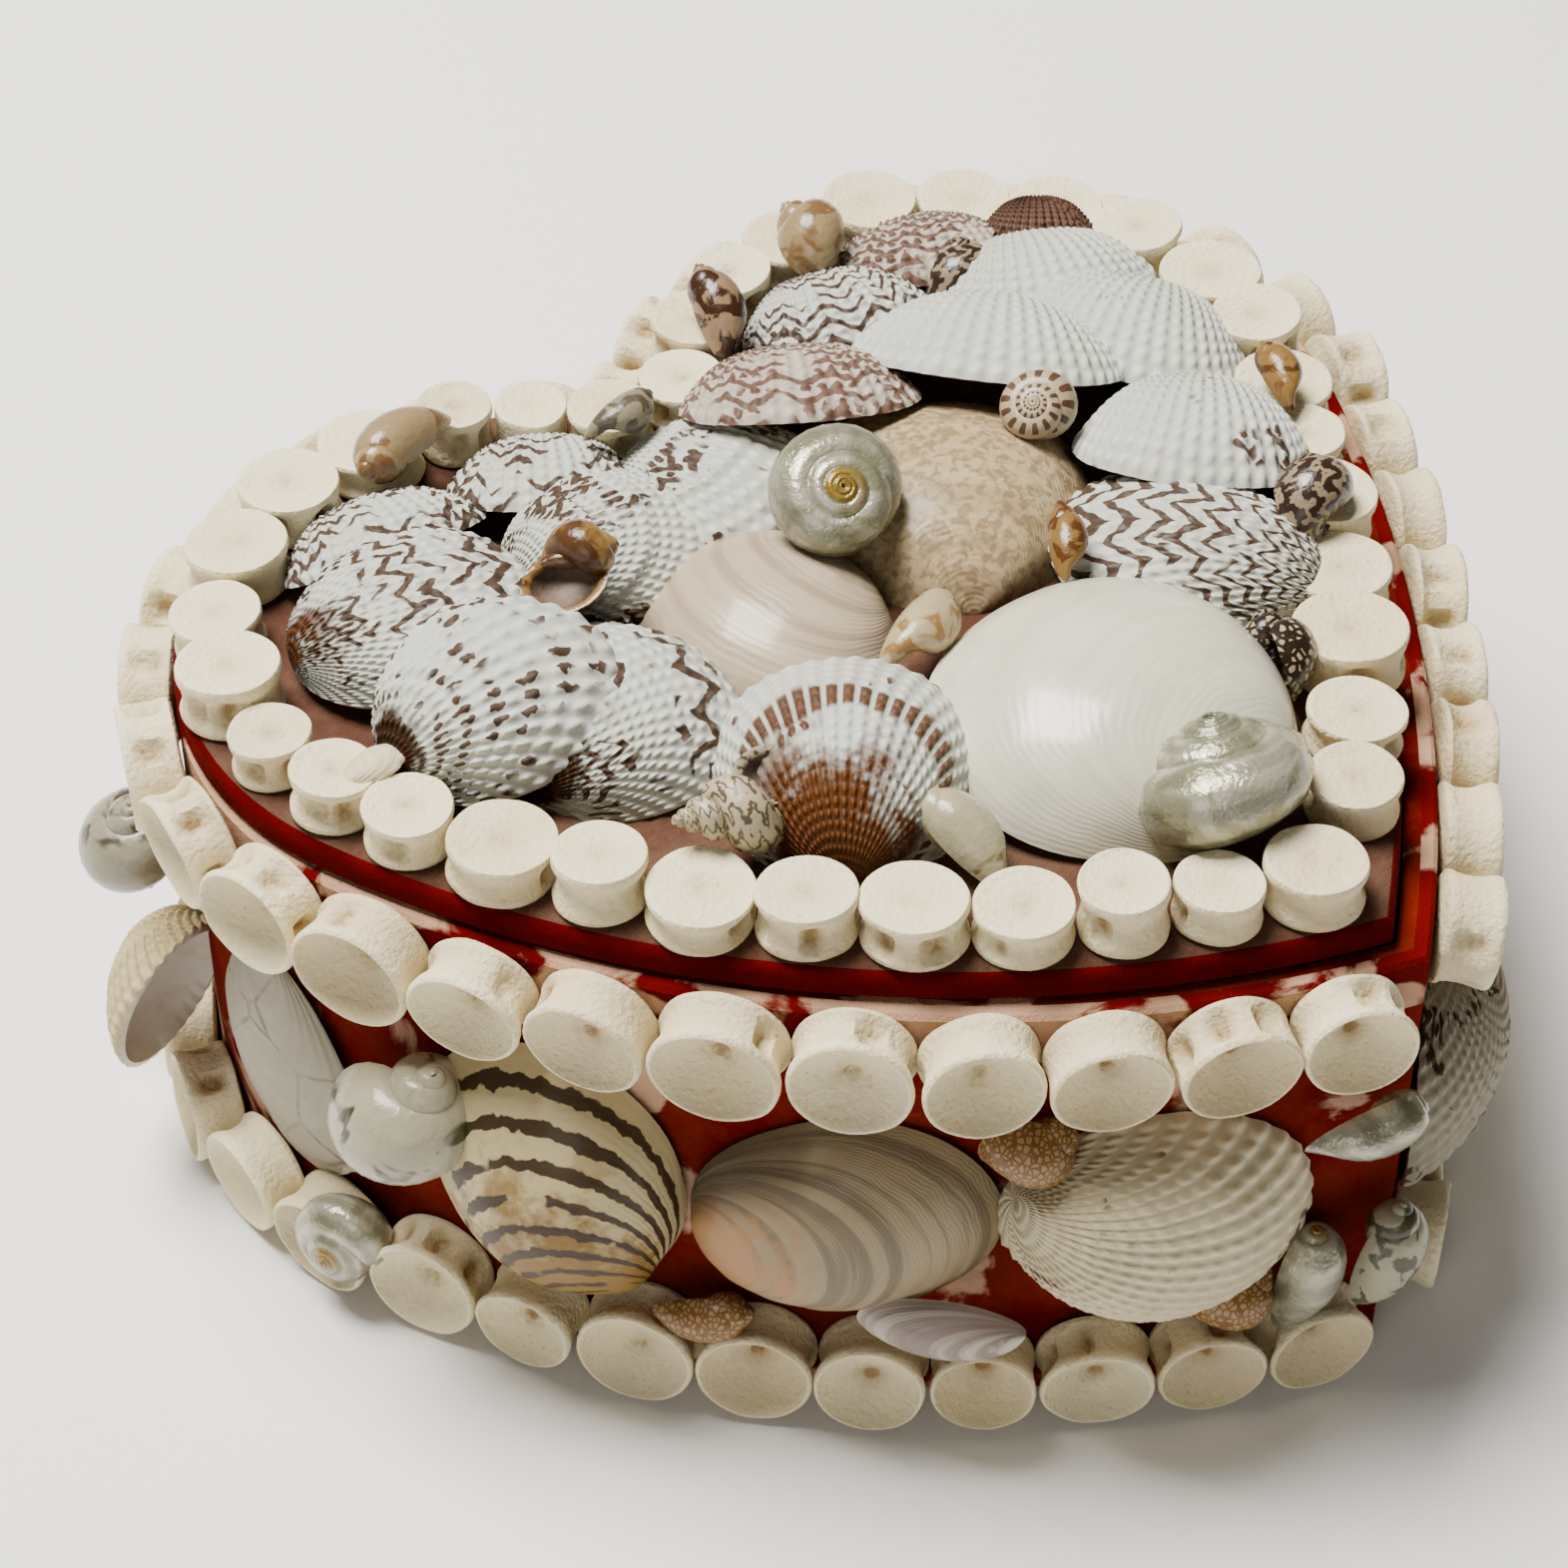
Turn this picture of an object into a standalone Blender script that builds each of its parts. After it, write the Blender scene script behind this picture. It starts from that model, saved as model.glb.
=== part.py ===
"""Heart-shaped keepsake box covered in sea shells, with a loose lid.

A flat-bottomed heart box stands on a base board. One row of fish vertebrae runs round the top of
the lid, and one row round the wall above and one below a band of larger shells. A heap of bivalve
and snail shells fills the lid inside its row of vertebrae. X runs across the heart, +Y to its
lobes, +Z up, and the underside is at Z = 0. Lengths in the tables are millimetres.
"""

import math
from collections import namedtuple

import bmesh
import bpy
from mathutils import Matrix, Vector

MM = 0.001

# Heart outline of the wall's outer face, in plan: two lobe circles and two long arcs to the tip.
LOBE_X = 26.8
LOBE_Y = 21.8
LOBE_RADIUS = 34.6
TIP = Vector((6.8, -55.8))
JOIN_LEFT = math.radians(18.5)
JOIN_RIGHT = math.radians(27.5)
CLEFT_RISE = 11.2
SIDE_POINTS = 6
LOBE_POINTS = 14
ROUTE_FINENESS = 12

# The loose lid lies a little to the left on the wall.
WALL_SHIFT = Vector((0.6, -0.5))
LID_SHIFT = Vector((-0.7, 0.6))

# Levels and thicknesses of the boards and the wall.
GAP = 0.3
SHELL_GAP = 0.4
BASE_TOP = 3.0
WALL_THICKNESS = 3.0
WALL_TOP = 49.5
LID_INSET = 1.7
LID_BOTTOM = WALL_TOP + GAP
LID_TOP = LID_BOTTOM + 3.0
BED = LID_TOP + GAP
CUTTER_REACH = 5.0

# Rows of vertebrae, as diameters in order from the tip.
DISC_SIDES = 8
DISC_OVERLAP = 0.55
LID_ROW_INSET = 6.2
LID_ROW_TIP_TURN = 3.0
TRAY_MARGIN = 5.9
LID_ROW_LEFT = (8.9, 7.9, 8.1, 8.6, 9.3, 8.5, 9.4, 8.1, 9.7, 8.0,
                7.7, 7.6, 9.3, 8.5, 9.6, 9.6, 10.0, 7.2, 7.0, 8.3)
LID_ROW_RIGHT = (7.7, 8.3, 9.7, 9.0, 9.0, 7.5, 8.8, 8.2, 9.3, 8.5,
                 8.6, 9.0, 9.0, 8.6, 7.7, 8.3, 8.0)
LID_DISC_HEIGHTS = (4.2, 3.9, 5.0, 3.6, 4.6, 4.4, 3.9, 5.4, 4.0, 4.5)
LID_ROW_CLEFT_GAP = 14.5
SIDE_DISC_DEPTH = 5.4
ROW_CORNER = 4.3
UPPER_ROW_HEIGHT = 45.6
UPPER_ROW_DROOP = math.radians(6)
UPPER_ROW = (9.8, 10.8, 10.5, 10.2, 10.6, 10.9, 10.3, 10.7, 10.1, 10.5, 10.8, 10.4, 10.6,
             10.2, 10.9, 10.5, 10.3, 10.1, 10.4, 10.6, 10.2, 10.7, 10.5, 10.8, 10.6,
             10.3, 10.6, 10.2, 10.4, 11.1, 10.4, 10.1, 10.2, 10.4, 9.9)
LOWER_ROW_HEIGHT = 5.9
LOWER_ROW = (9.9, 10.5, 10.2, 10.7, 10.4, 10.1, 10.6, 10.3, 10.8, 10.2, 10.5, 9.9, 10.6,
             10.3, 10.7, 10.2, 10.4, 10.6, 10.1, 10.5, 10.3, 10.6, 10.2, 10.8, 10.4, 10.1,
             10.5, 10.7, 9.7, 10.6, 10.3, 9.9, 9.5, 10.2, 9.8, 9.9)

# The band of wall shells, measured from the middles of the rows below and above it.
BAND_ABOVE_LOWER_ROW = 5.8
BAND_BELOW_UPPER_ROW = 6.4
BAND_BEVEL = 0.1

# Forms of the shells, as shares of their size.
LARGE_SHELL = 14.0
VALVE_NARROWING = 0.12
VALVE_LEAN = 0.35
VALVE_RIM = -0.02
SNAIL_TAPER = 0.30
SNAIL_MIDDLE = 0.85
SNAIL_BREADTH = 1.15
SNAIL_RISE = 0.4
TURBAN_PROFILE = ((0.0, 0.0), (0.85, 0.0), (1.0, 0.25), (0.72, 0.60), (0.34, 0.86), (0.0, 1.0))

# Tidying of the shaped solids.
WELD = 0.002
FLAT_ANGLE = math.radians(1)
SHARP_ANGLE = math.radians(40)

# Shells on the lid: the highest of the heap come first and keep their whole form, and each later
# one is cut back where an earlier one lies on it. A valve's heading runs from its umbo to its
# margin, and its tilt lifts the margin.
Shell = namedtuple("Shell", "name kind x y lift width length dome heading tilt colour")
LID_SHELLS = (
    Shell("pearl_turban", "turban", -1, 11.5, 5.5, 14, 14, 8.5, 0, 0, "pearl"),
    Shell("speckled_lens_shell", "valve", 8.5, 28, 3.0, 23.5, 16.5, 5.0, -118, 24, "purple"),
    Shell("white_serrated_shell", "valve", 26, 21.5, 2.0, 26.5, 19.5, 6.5, -152, 20, "white"),
    Shell("chevron_edge_shell", "valve", -39, 12.5, 2.5, 23.5, 21.5, 6.0, 32, 16, "brown"),
    Shell("domed_white_shell", "valve", 33.5, 0, 1.5, 22.5, 19.5, 6.5, -138, 16, "white"),
    Shell("lower_turban", "turban", 2, -36, 3.0, 15, 15, 8.0, 0, 0, "pearl"),
    Shell("banded_ribbed_shell", "valve", -20, -11.5, 1.0, 26.5, 25.5, 6.5, 62, 14, "brown"),
    Shell("large_white_clam", "valve", 2, -21, 0.5, 32.5, 31.5, 8.5, 80, 8, "white"),
    Shell("hooked_chevron_shell", "valve", 24.5, -10, 0.5, 22.5, 25.5, 6.0, 120, 8, "brown"),
    Shell("dark_speckled_snail", "snail", -31, -9.5, 2.0, 9, 12, 8, 60, 0, "grey"),
    Shell("purple_edge_shell", "valve", 43, 16, 0.5, 22.5, 19.5, 6.0, -150, 14, "white"),
    Shell("brown_chevron_shell", "valve", -37.5, 29.5, 0.5, 26.5, 21.5, 6.5, -55, 12, "brown"),
    Shell("beaded_fan_shell", "valve", -32.5, 5, 0.0, 24.5, 22.5, 6.0, 42, 10, "white"),
    Shell("stepped_fan_shell", "valve", -17, 26, 0.5, 19.5, 19.5, 5.5, -8, 10, "white"),
    Shell("jagged_fan_shell", "valve", -4, 26, 0.5, 20.5, 19.5, 5.0, -68, 10, "white"),
    Shell("tan_mottled_clam", "valve", 12.5, 10, 0.0, 27.5, 24.5, 7.0, -120, 4, "tan"),
    Shell("pink_clam", "valve", -11, 8.5, 0.0, 25.5, 20.5, 6.0, 20, 4, "pink"),
    Shell("olive_edge_shell", "valve", 43.5, 29.5, 0.5, 21.5, 15.5, 5.0, -105, 14, "white"),
    Shell("red_dotted_lens_shell", "valve", -17, 37.5, 0.5, 20.5, 15.5, 5.0, -110, 14, "white"),
    Shell("upper_lens_shell", "valve", -32.5, 40, 0.5, 20.5, 13.5, 5.0, -75, 12, "brown"),
    Shell("wavy_chevron_shell", "valve", 22, 39, 0.5, 19.5, 13.5, 4.5, -105, 12, "brown"),
    Shell("scalloped_thin_shell", "valve", 36.5, 42.5, 0.5, 19.5, 12.5, 4.5, -118, 12, "purple"),
    Shell("small_dark_valve", "valve", 45.5, 34.5, 3.0, 10.5, 9.5, 3.5, -120, 12, "grey"),
    Shell("tan_glossy_snail", "snail", -25.5, 46, 4.5, 7, 11, 6, 170, 0, "tan"),
    Shell("grey_snail", "snail", -7, 35, 4.0, 7, 8, 6, 60, 0, "grey"),
    Shell("amber_snail", "snail", 26, 47, 4.5, 8, 9, 6, 40, 0, "amber"),
    Shell("dark_drop_snail", "snail", 11, 43, 5.3, 7, 11, 6, 55, 0, "grey"),
    Shell("striped_snail", "snail", 36, 36.5, 1.0, 8, 9, 6, 30, 0, "grey"),
    Shell("honey_snail", "snail", -4.5, -4.5, 1.0, 8, 10, 6, 10, 0, "amber"),
    Shell("amber_edge_snail", "snail", 45, 0.5, 4.5, 7, 9, 6, 40, 0, "amber"),
    Shell("dark_side_snail", "snail", 35.5, -13.5, 4.5, 7, 10, 6, 50, 0, "grey"),
    Shell("net_patterned_snail", "snail", 18.5, -28, 0.5, 7, 9, 6, 45, 0, "grey"),
    Shell("cream_snail", "snail", -17, -25, 0.5, 7, 9, 6, 60, 0, "cream"),
    Shell("open_amber_snail", "snail", -25.5, 19, 7.5, 7, 9.5, 5.5, -20, 0, "amber"),
)

# Shells round the wall: x is the distance along the outline from the tip (negative on the left
# side), y the height of the middle, lift how far the rim of the valve stands off the wall.
WALL_SHELLS = (
    Shell("ribbed_ark_shell", "valve", -23.4, 25, 0.3, 27.5, 28.5, 8.0, -70, 0, "white"),
    Shell("pink_grey_clam", "valve", -49.8, 25.5, 0.3, 27.5, 27.5, 7.5, -80, 0, "pink"),
    Shell("dashed_oval_clam", "valve", -75.5, 25, 0.3, 24.5, 28.5, 7.5, -75, 0, "cream"),
    Shell("lumpy_pale_shell", "snail", -88, 31, 0.3, 12, 14, 8, 70, 0, "cream"),
    Shell("small_wall_turban", "snail", -92.5, 16, 0.3, 9, 9, 7, 20, 0, "pearl"),
    Shell("flat_whitish_shell", "valve", -104, 25, 0.3, 17.5, 26.5, 4.0, -85, 0, "cream"),
    Shell("fan_ribbed_shell", "valve", -122, 25, 0.3, 20.5, 26.5, 7.0, -70, 0, "tan"),
    Shell("grey_left_snail", "snail", -138, 27, 0.3, 9, 14, 7, 80, 0, "grey"),
    Shell("mottled_green_snail", "snail", -4.2, 16, 0.3, 7, 12, 6, 85, 0, "grey"),
    Shell("pearl_oval_snail", "snail", -5.5, 34, 0.3, 7, 9, 4, 20, 0, "pearl"),
    Shell("speckled_side_shell", "valve", 17, 25, 0.3, 27.5, 28.5, 8.0, -100, 0, "brown"),
    Shell("right_pale_clam", "valve", 44.5, 25, 0.3, 29, 28.5, 7.5, -85, 0, "white"),
    Shell("right_ribbed_shell", "valve", 72, 25, 0.3, 28, 28.5, 7.5, -95, 0, "tan"),
    Shell("right_pink_clam", "valve", 99.5, 25, 0.3, 29, 27.5, 7.0, -90, 0, "pink"),
    Shell("right_brown_shell", "valve", 127, 25, 0.3, 28, 28.5, 7.5, -80, 0, "brown"),
    Shell("back_right_clam", "valve", 154, 25, 0.3, 28, 27.5, 7.0, -95, 0, "white"),
    Shell("back_right_shell", "valve", 180, 25, 0.3, 25.5, 28.5, 6.5, -85, 0, "cream"),
    Shell("back_left_shell", "valve", -180, 25, 0.3, 25.5, 28.5, 6.5, -95, 0, "tan"),
    Shell("back_left_clam", "valve", -156, 25, 0.3, 23, 27.5, 7.0, -85, 0, "white"),
)

# Colour, roughness of each finish.
FINISHES = {
    "velvet": ((0.16, 0.03, 0.02), 0.95),
    "bone": ((0.72, 0.64, 0.50), 0.75),
    "white": ((0.80, 0.76, 0.68), 0.45),
    "cream": ((0.78, 0.68, 0.50), 0.40),
    "tan": ((0.60, 0.43, 0.26), 0.40),
    "pink": ((0.72, 0.56, 0.48), 0.30),
    "brown": ((0.48, 0.30, 0.18), 0.45),
    "purple": ((0.38, 0.26, 0.26), 0.45),
    "grey": ((0.30, 0.27, 0.24), 0.40),
    "amber": ((0.55, 0.28, 0.10), 0.30),
    "pearl": ((0.70, 0.68, 0.60), 0.20),
}


def finish(name, kind):
    """The Principled material of one object."""
    colour, roughness = FINISHES[kind]
    material = bpy.data.materials.new(name)
    material.use_nodes = True
    shader = material.node_tree.nodes["Principled BSDF"]
    shader.inputs["Base Color"].default_value = (*colour, 1.0)
    shader.inputs["Roughness"].default_value = roughness
    shader.inputs["Metallic"].default_value = 0.0
    return material


def add_object(name, bm, kind, collection, turn=Matrix.Identity(4), smooth=True):
    """An object in metres from a bmesh in millimetres, placed by a millimetre matrix."""
    bmesh.ops.transform(bm, matrix=Matrix.Scale(MM, 4) @ turn, verts=bm.verts)
    bmesh.ops.recalc_face_normals(bm, faces=bm.faces)
    mesh = bpy.data.meshes.new(name)
    bm.to_mesh(mesh)
    bm.free()
    obj = bpy.data.objects.new(name, mesh)
    mesh.materials.append(finish(name, kind))
    if smooth:
        mesh.shade_smooth()
        mesh.set_sharp_from_angle(angle=SHARP_ANGLE)
    collection.objects.link(obj)
    return obj


def as_cutter(obj):
    """Mark an object that only shapes others."""
    obj.hide_render = True
    obj.display_type = "WIRE"
    return obj


def boolean(obj, cutter, operation):
    """Shape an object by another one, or by every object of a collection."""
    modifier = obj.modifiers.new(operation.title(), "BOOLEAN")
    modifier.operation = operation
    modifier.solver = "EXACT"
    if isinstance(cutter, bpy.types.Collection):
        modifier.operand_type = "COLLECTION"
        modifier.collection = cutter
    else:
        modifier.object = cutter


def settle(obj):
    """Apply an object's modifiers and keep only its largest piece."""
    depsgraph = bpy.context.evaluated_depsgraph_get()
    mesh = bpy.data.meshes.new_from_object(obj.evaluated_get(depsgraph))
    obj.modifiers.clear()
    bm = bmesh.new()
    bm.from_mesh(mesh)
    bmesh.ops.remove_doubles(bm, verts=bm.verts, dist=WELD * MM)
    bmesh.ops.dissolve_limit(bm, angle_limit=FLAT_ANGLE, verts=bm.verts, edges=bm.edges)
    bmesh.ops.triangulate(bm, faces=bm.faces)
    islands = []
    waiting = set(bm.verts)
    while waiting:
        island = set()
        edge_of_island = [waiting.pop()]
        while edge_of_island:
            vertex = edge_of_island.pop()
            island.add(vertex)
            near = {edge.other_vert(vertex) for edge in vertex.link_edges} & waiting
            waiting -= near
            edge_of_island.extend(near)
        islands.append(island)
    islands.sort(key=lambda island: sum(len(vertex.link_faces) for vertex in island), reverse=True)
    for island in islands[1:]:
        bmesh.ops.delete(bm, geom=list(island), context="VERTS")
    bm.to_mesh(mesh)
    bm.free()
    obj.data = mesh


# ---------------------------------------------------------------- heart outline

def side_circle(sign, join):
    """Centre and radius of the long arc on one side, tangent to its lobe and through the tip."""
    out = Vector((sign * math.cos(join), -math.sin(join)))
    start = Vector((sign * LOBE_X, LOBE_Y)) + LOBE_RADIUS * out
    reach = start - TIP
    radius = reach.dot(reach) / (2 * reach.dot(out))
    return start - radius * out, radius


def arc(centre, radius, start, stop, count):
    """Points from start towards stop along a circle, without the last one."""
    first = math.atan2(start.y - centre.y, start.x - centre.x)
    last = math.atan2(stop.y - centre.y, stop.x - centre.x)
    if last < first:
        last += 2 * math.pi
    angles = [first + (last - first) * i / count for i in range(count)]
    return [centre + radius * Vector((math.cos(a), math.sin(a))) for a in angles]


def heart(offset, shift, fineness=1):
    """The outline grown by an offset and shifted, counter-clockwise from the tip."""
    left, left_radius = side_circle(-1, JOIN_LEFT)
    right, right_radius = side_circle(1, JOIN_RIGHT)
    left_radius += offset
    right_radius += offset
    lobe_radius = LOBE_RADIUS + offset
    between = right - left
    distance = between.length
    along = (left_radius**2 - right_radius**2 + distance**2) / (2 * distance)
    rise = math.sqrt(left_radius**2 - along**2)
    tip = left + along * between.normalized() + rise * Vector((-between.y, between.x)).normalized()
    cleft_rise = max(math.sqrt(max(lobe_radius**2 - LOBE_X**2, 0.0)), CLEFT_RISE)
    cleft_half = LOBE_X - math.sqrt(max(lobe_radius**2 - cleft_rise**2, 0.0))
    right_cleft = Vector((cleft_half, LOBE_Y + cleft_rise))
    left_cleft = Vector((-cleft_half, LOBE_Y + cleft_rise))
    left_lobe = Vector((-LOBE_X, LOBE_Y))
    right_lobe = Vector((LOBE_X, LOBE_Y))
    right_join = right_lobe + lobe_radius * Vector((math.cos(JOIN_RIGHT), -math.sin(JOIN_RIGHT)))
    left_join = left_lobe + lobe_radius * Vector((-math.cos(JOIN_LEFT), -math.sin(JOIN_LEFT)))
    side_count = SIDE_POINTS * fineness
    lobe_count = LOBE_POINTS * fineness
    points = arc(right, right_radius, tip, right_join, side_count)
    points += arc(right_lobe, lobe_radius, right_join, right_cleft, lobe_count)
    points += arc(left_lobe, lobe_radius, left_cleft, left_join, lobe_count)
    points += arc(left, left_radius, left_join, tip, side_count)
    return [point + shift for point in points]


class Route:
    """Places measured along the heart outline at one offset, from the tip counter-clockwise."""

    def __init__(self, offset, shift):
        self.points = heart(offset, shift, ROUTE_FINENESS)
        self.points.append(self.points[0])
        self.reached = [0.0]
        for before, after in zip(self.points, self.points[1:]):
            self.reached.append(self.reached[-1] + (after - before).length)
        self.length = self.reached[-1]
        self.cleft = self.reached[ROUTE_FINENESS * (SIDE_POINTS + LOBE_POINTS)]

    def at(self, distance):
        """Point and outward direction at a distance."""
        distance %= self.length
        index = next(i for i, reached in enumerate(self.reached) if reached >= distance and i)
        before, after = self.points[index - 1], self.points[index]
        share = (distance - self.reached[index - 1]) / (after - before).length
        run = (after - before).normalized()
        return before.lerp(after, share), Vector((run.y, -run.x))


def loft(sections, shift, hollow=False):
    """A solid through heart outlines of given (offset, height): with flat caps, or a hollow ring."""
    bm = bmesh.new()
    order = bm.verts.layers.int.new("order")
    count = 2 * (SIDE_POINTS + LOBE_POINTS)
    ring = bmesh.ops.create_circle(bm, cap_ends=False, segments=count, radius=1.0)["verts"]
    for vertex in ring:
        turn = math.atan2(vertex.co.y, vertex.co.x) / (2 * math.pi)
        vertex[order] = math.floor(turn * count + 0.25) % count
    first_edges = list(bm.edges)
    edges = first_edges
    for number, (offset, height) in enumerate(sections):
        if number:
            new = bmesh.ops.extrude_edge_only(bm, edges=edges)["geom"]
            ring = [item for item in new if isinstance(item, bmesh.types.BMVert)]
            edges = [item for item in new if isinstance(item, bmesh.types.BMEdge)]
            edges = [edge for edge in edges if all(vertex in ring for vertex in edge.verts)]
        outline = heart(offset, shift)
        for vertex in ring:
            vertex.co = (*outline[vertex[order]], height)
    if hollow:
        bmesh.ops.bridge_loops(bm, edges=first_edges + edges)
    else:
        bmesh.ops.contextual_create(bm, geom=first_edges)
        bmesh.ops.contextual_create(bm, geom=edges)
    return bm


# ---------------------------------------------------------------- boards, wall, rows

def boards_and_wall(parts):
    """Base board, hollow wall and lid board."""
    base = loft(((0, 0), (0, BASE_TOP)), WALL_SHIFT)
    add_object("base_board", base, "velvet", parts, smooth=False)
    low = BASE_TOP + GAP
    inner = -WALL_THICKNESS
    wall = loft(((0, low), (0, WALL_TOP), (inner, WALL_TOP), (inner, low)), WALL_SHIFT, hollow=True)
    add_object("box_wall", wall, "velvet", parts, smooth=False)
    lid = loft(((-LID_INSET, LID_BOTTOM), (-LID_INSET, LID_TOP)), LID_SHIFT)
    add_object("lid_board", lid, "velvet", parts, smooth=False)


def row_places(diameters, start, end):
    """Distances of touching discs between two ends, the slack or squeeze shared evenly."""
    stretch = abs(end - start) / sum(diameters)
    direction = 1 if end > start else -1
    places = []
    reached = start
    for diameter in diameters:
        places.append(reached + direction * stretch * diameter / 2)
        reached += direction * stretch * diameter
    return places, stretch


def disc(name, diameter, depth, place, cutters):
    """One vertebra, a short cylinder standing on the plane of its place matrix."""
    bm = bmesh.new()
    bmesh.ops.create_cone(bm, cap_ends=True, segments=DISC_SIDES, radius1=diameter / 2,
                          radius2=diameter / 2, depth=depth)
    bmesh.ops.translate(bm, verts=bm.verts, vec=(0, 0, depth / 2))
    return add_object(name, bm, "bone", cutters, place)


def joined_row(name, discs, parts, cutters, keep_out=None):
    """One body from a row of overlapping discs."""
    first = discs[0]
    first.name = name
    first.data.materials[0].name = name
    cutters.objects.unlink(first)
    parts.objects.link(first)
    others = bpy.data.collections.new(name + "_joined")
    cutters.children.link(others)
    for other in discs[1:]:
        cutters.objects.unlink(other)
        others.objects.link(as_cutter(other))
    boolean(first, others, "UNION")
    if keep_out:
        boolean(first, keep_out, "DIFFERENCE")
    settle(first)
    return first


def lid_row(parts, cutters):
    """The row of upright vertebrae round the top of the lid, open at the cleft."""
    route = Route(-LID_ROW_INSET, LID_SHIFT)
    half_gap = LID_ROW_CLEFT_GAP / 2
    right_end = route.cleft - half_gap + LID_ROW_RIGHT[-1] / 2
    left_end = route.cleft + half_gap - LID_ROW_LEFT[-1] / 2
    left, left_stretch = row_places(LID_ROW_LEFT, route.length + LID_ROW_TIP_TURN / 2, left_end)
    right, right_stretch = row_places(LID_ROW_RIGHT, 2 * LID_ROW_TIP_TURN, right_end)
    row = list(zip(left[::-1], LID_ROW_LEFT[::-1], [left_stretch] * len(left)))
    row += list(zip(right, LID_ROW_RIGHT, [right_stretch] * len(right)))
    discs = []
    for index, (distance, diameter, stretch) in enumerate(row):
        point, out = route.at(distance)
        facing = Matrix.Rotation(math.atan2(out.x, -out.y), 4, "Z")
        place = Matrix.Translation((*point, BED)) @ facing
        height = LID_DISC_HEIGHTS[index % len(LID_DISC_HEIGHTS)]
        name = "lid_vertebra_%02d" % index
        discs.append(disc(name, diameter * stretch + DISC_OVERLAP, height, place, cutters))
    joined_row("lid_vertebra_row", discs, parts, cutters)


def wall_row(name, diameters, height, droop, parts, cutters, keep_out):
    """A row of vertebrae facing out from the wall, open at the tip."""
    route = Route(SIDE_DISC_DEPTH / 2, WALL_SHIFT)
    places, stretch = row_places(diameters, ROW_CORNER, route.length - ROW_CORNER)
    discs = []
    for index, (distance, diameter) in enumerate(zip(places, diameters)):
        point, out = route.at(distance)
        axis = Vector((*out * math.cos(droop), -math.sin(droop)))
        turn = axis.to_track_quat("Z", "Y").to_matrix().to_4x4()
        foot = Vector((*point, height)) - axis * SIDE_DISC_DEPTH / 2
        size = diameter * stretch + DISC_OVERLAP
        place = Matrix.Translation(foot) @ turn
        discs.append(disc("%s_%02d" % (name, index), size, SIDE_DISC_DEPTH, place, cutters))
    joined_row(name, discs, parts, cutters, keep_out)


# ---------------------------------------------------------------- shells

def valve_form(shell, grow):
    """A domed bivalve: half an ellipsoid, narrower and steeper towards its umbo at -Y."""
    bm = bmesh.new()
    large = shell.width > LARGE_SHELL
    bmesh.ops.create_uvsphere(bm, u_segments=8 if large else 6, v_segments=6 if large else 4,
                              radius=1.0)
    bmesh.ops.bisect_plane(bm, geom=bm.verts[:] + bm.edges[:] + bm.faces[:],
                           plane_co=(0, 0, VALVE_RIM), plane_no=(0, 0, -1), clear_outer=True)
    rim = [edge for edge in bm.edges if edge.is_boundary]
    bmesh.ops.contextual_create(bm, geom=rim)
    for vertex in bm.verts:
        across, along, up = vertex.co
        narrowing = 1 - VALVE_NARROWING * (1 - along)
        vertex.co.x = across * narrowing * (shell.width / 2 + grow)
        vertex.co.y = (along - VALVE_LEAN * up * (1 - along * along)) * (shell.length / 2 + grow)
        vertex.co.z = up * (shell.dome + grow) - (grow if up <= 0 else 0)
    return bm


def snail_form(shell, grow):
    """A plump snail lying on its side, its spire towards +Y."""
    bm = bmesh.new()
    bmesh.ops.create_uvsphere(bm, u_segments=5, v_segments=4, radius=1.0)
    for vertex in bm.verts:
        across, up, along = vertex.co
        taper = SNAIL_MIDDLE - SNAIL_TAPER * along
        vertex.co = (across * taper * (shell.width / 2 + grow) * SNAIL_BREADTH,
                     along * (shell.length / 2 + grow),
                     up * taper * (shell.dome / 2 + grow) + SNAIL_RISE * shell.dome)
    return bm


def turban_form(shell, grow):
    """A low spiral shell seen from above: a stepped cone with its apex up."""
    bm = bmesh.new()
    radius = shell.width / 2 + grow
    verts = [bm.verts.new((share * radius, 0, level * (shell.dome + 2 * grow) - grow))
             for share, level in TURBAN_PROFILE]
    edges = [bm.edges.new(pair) for pair in zip(verts, verts[1:])]
    bmesh.ops.spin(bm, geom=verts + edges, cent=(0, 0, 0), axis=(0, 0, 1), steps=8,
                   angle=2 * math.pi, use_merge=True)
    bmesh.ops.remove_doubles(bm, verts=bm.verts, dist=WELD)
    return bm


FORMS = {"valve": valve_form, "snail": snail_form, "turban": turban_form}


def lid_place(shell):
    """Pose of a shell in the heap on the lid, its lower edge at its lift above the lid."""
    tilt = math.radians(shell.tilt)
    rise = shell.length / 2 * math.sin(tilt)
    turn = Matrix.Rotation(math.radians(shell.heading - 90), 4, "Z") @ Matrix.Rotation(tilt, 4, "X")
    return Matrix.Translation((shell.x, shell.y, BED + shell.lift + rise)) @ turn


def wall_place(shell, route):
    """Pose of a shell on the wall, its dome facing out."""
    point, out = route.at(shell.x)
    facing = Vector((*out, 0)).to_track_quat("Z", "Y").to_matrix().to_4x4()
    turn = facing @ Matrix.Rotation(math.radians(shell.heading - 90), 4, "Z")
    return Matrix.Translation((*(point + out * shell.lift), shell.y)) @ turn


def spread(place, shell):
    """Radius within which a shell can touch another."""
    return place.translation, max(shell.width, shell.length) / 2 + shell.dome / 2


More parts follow.
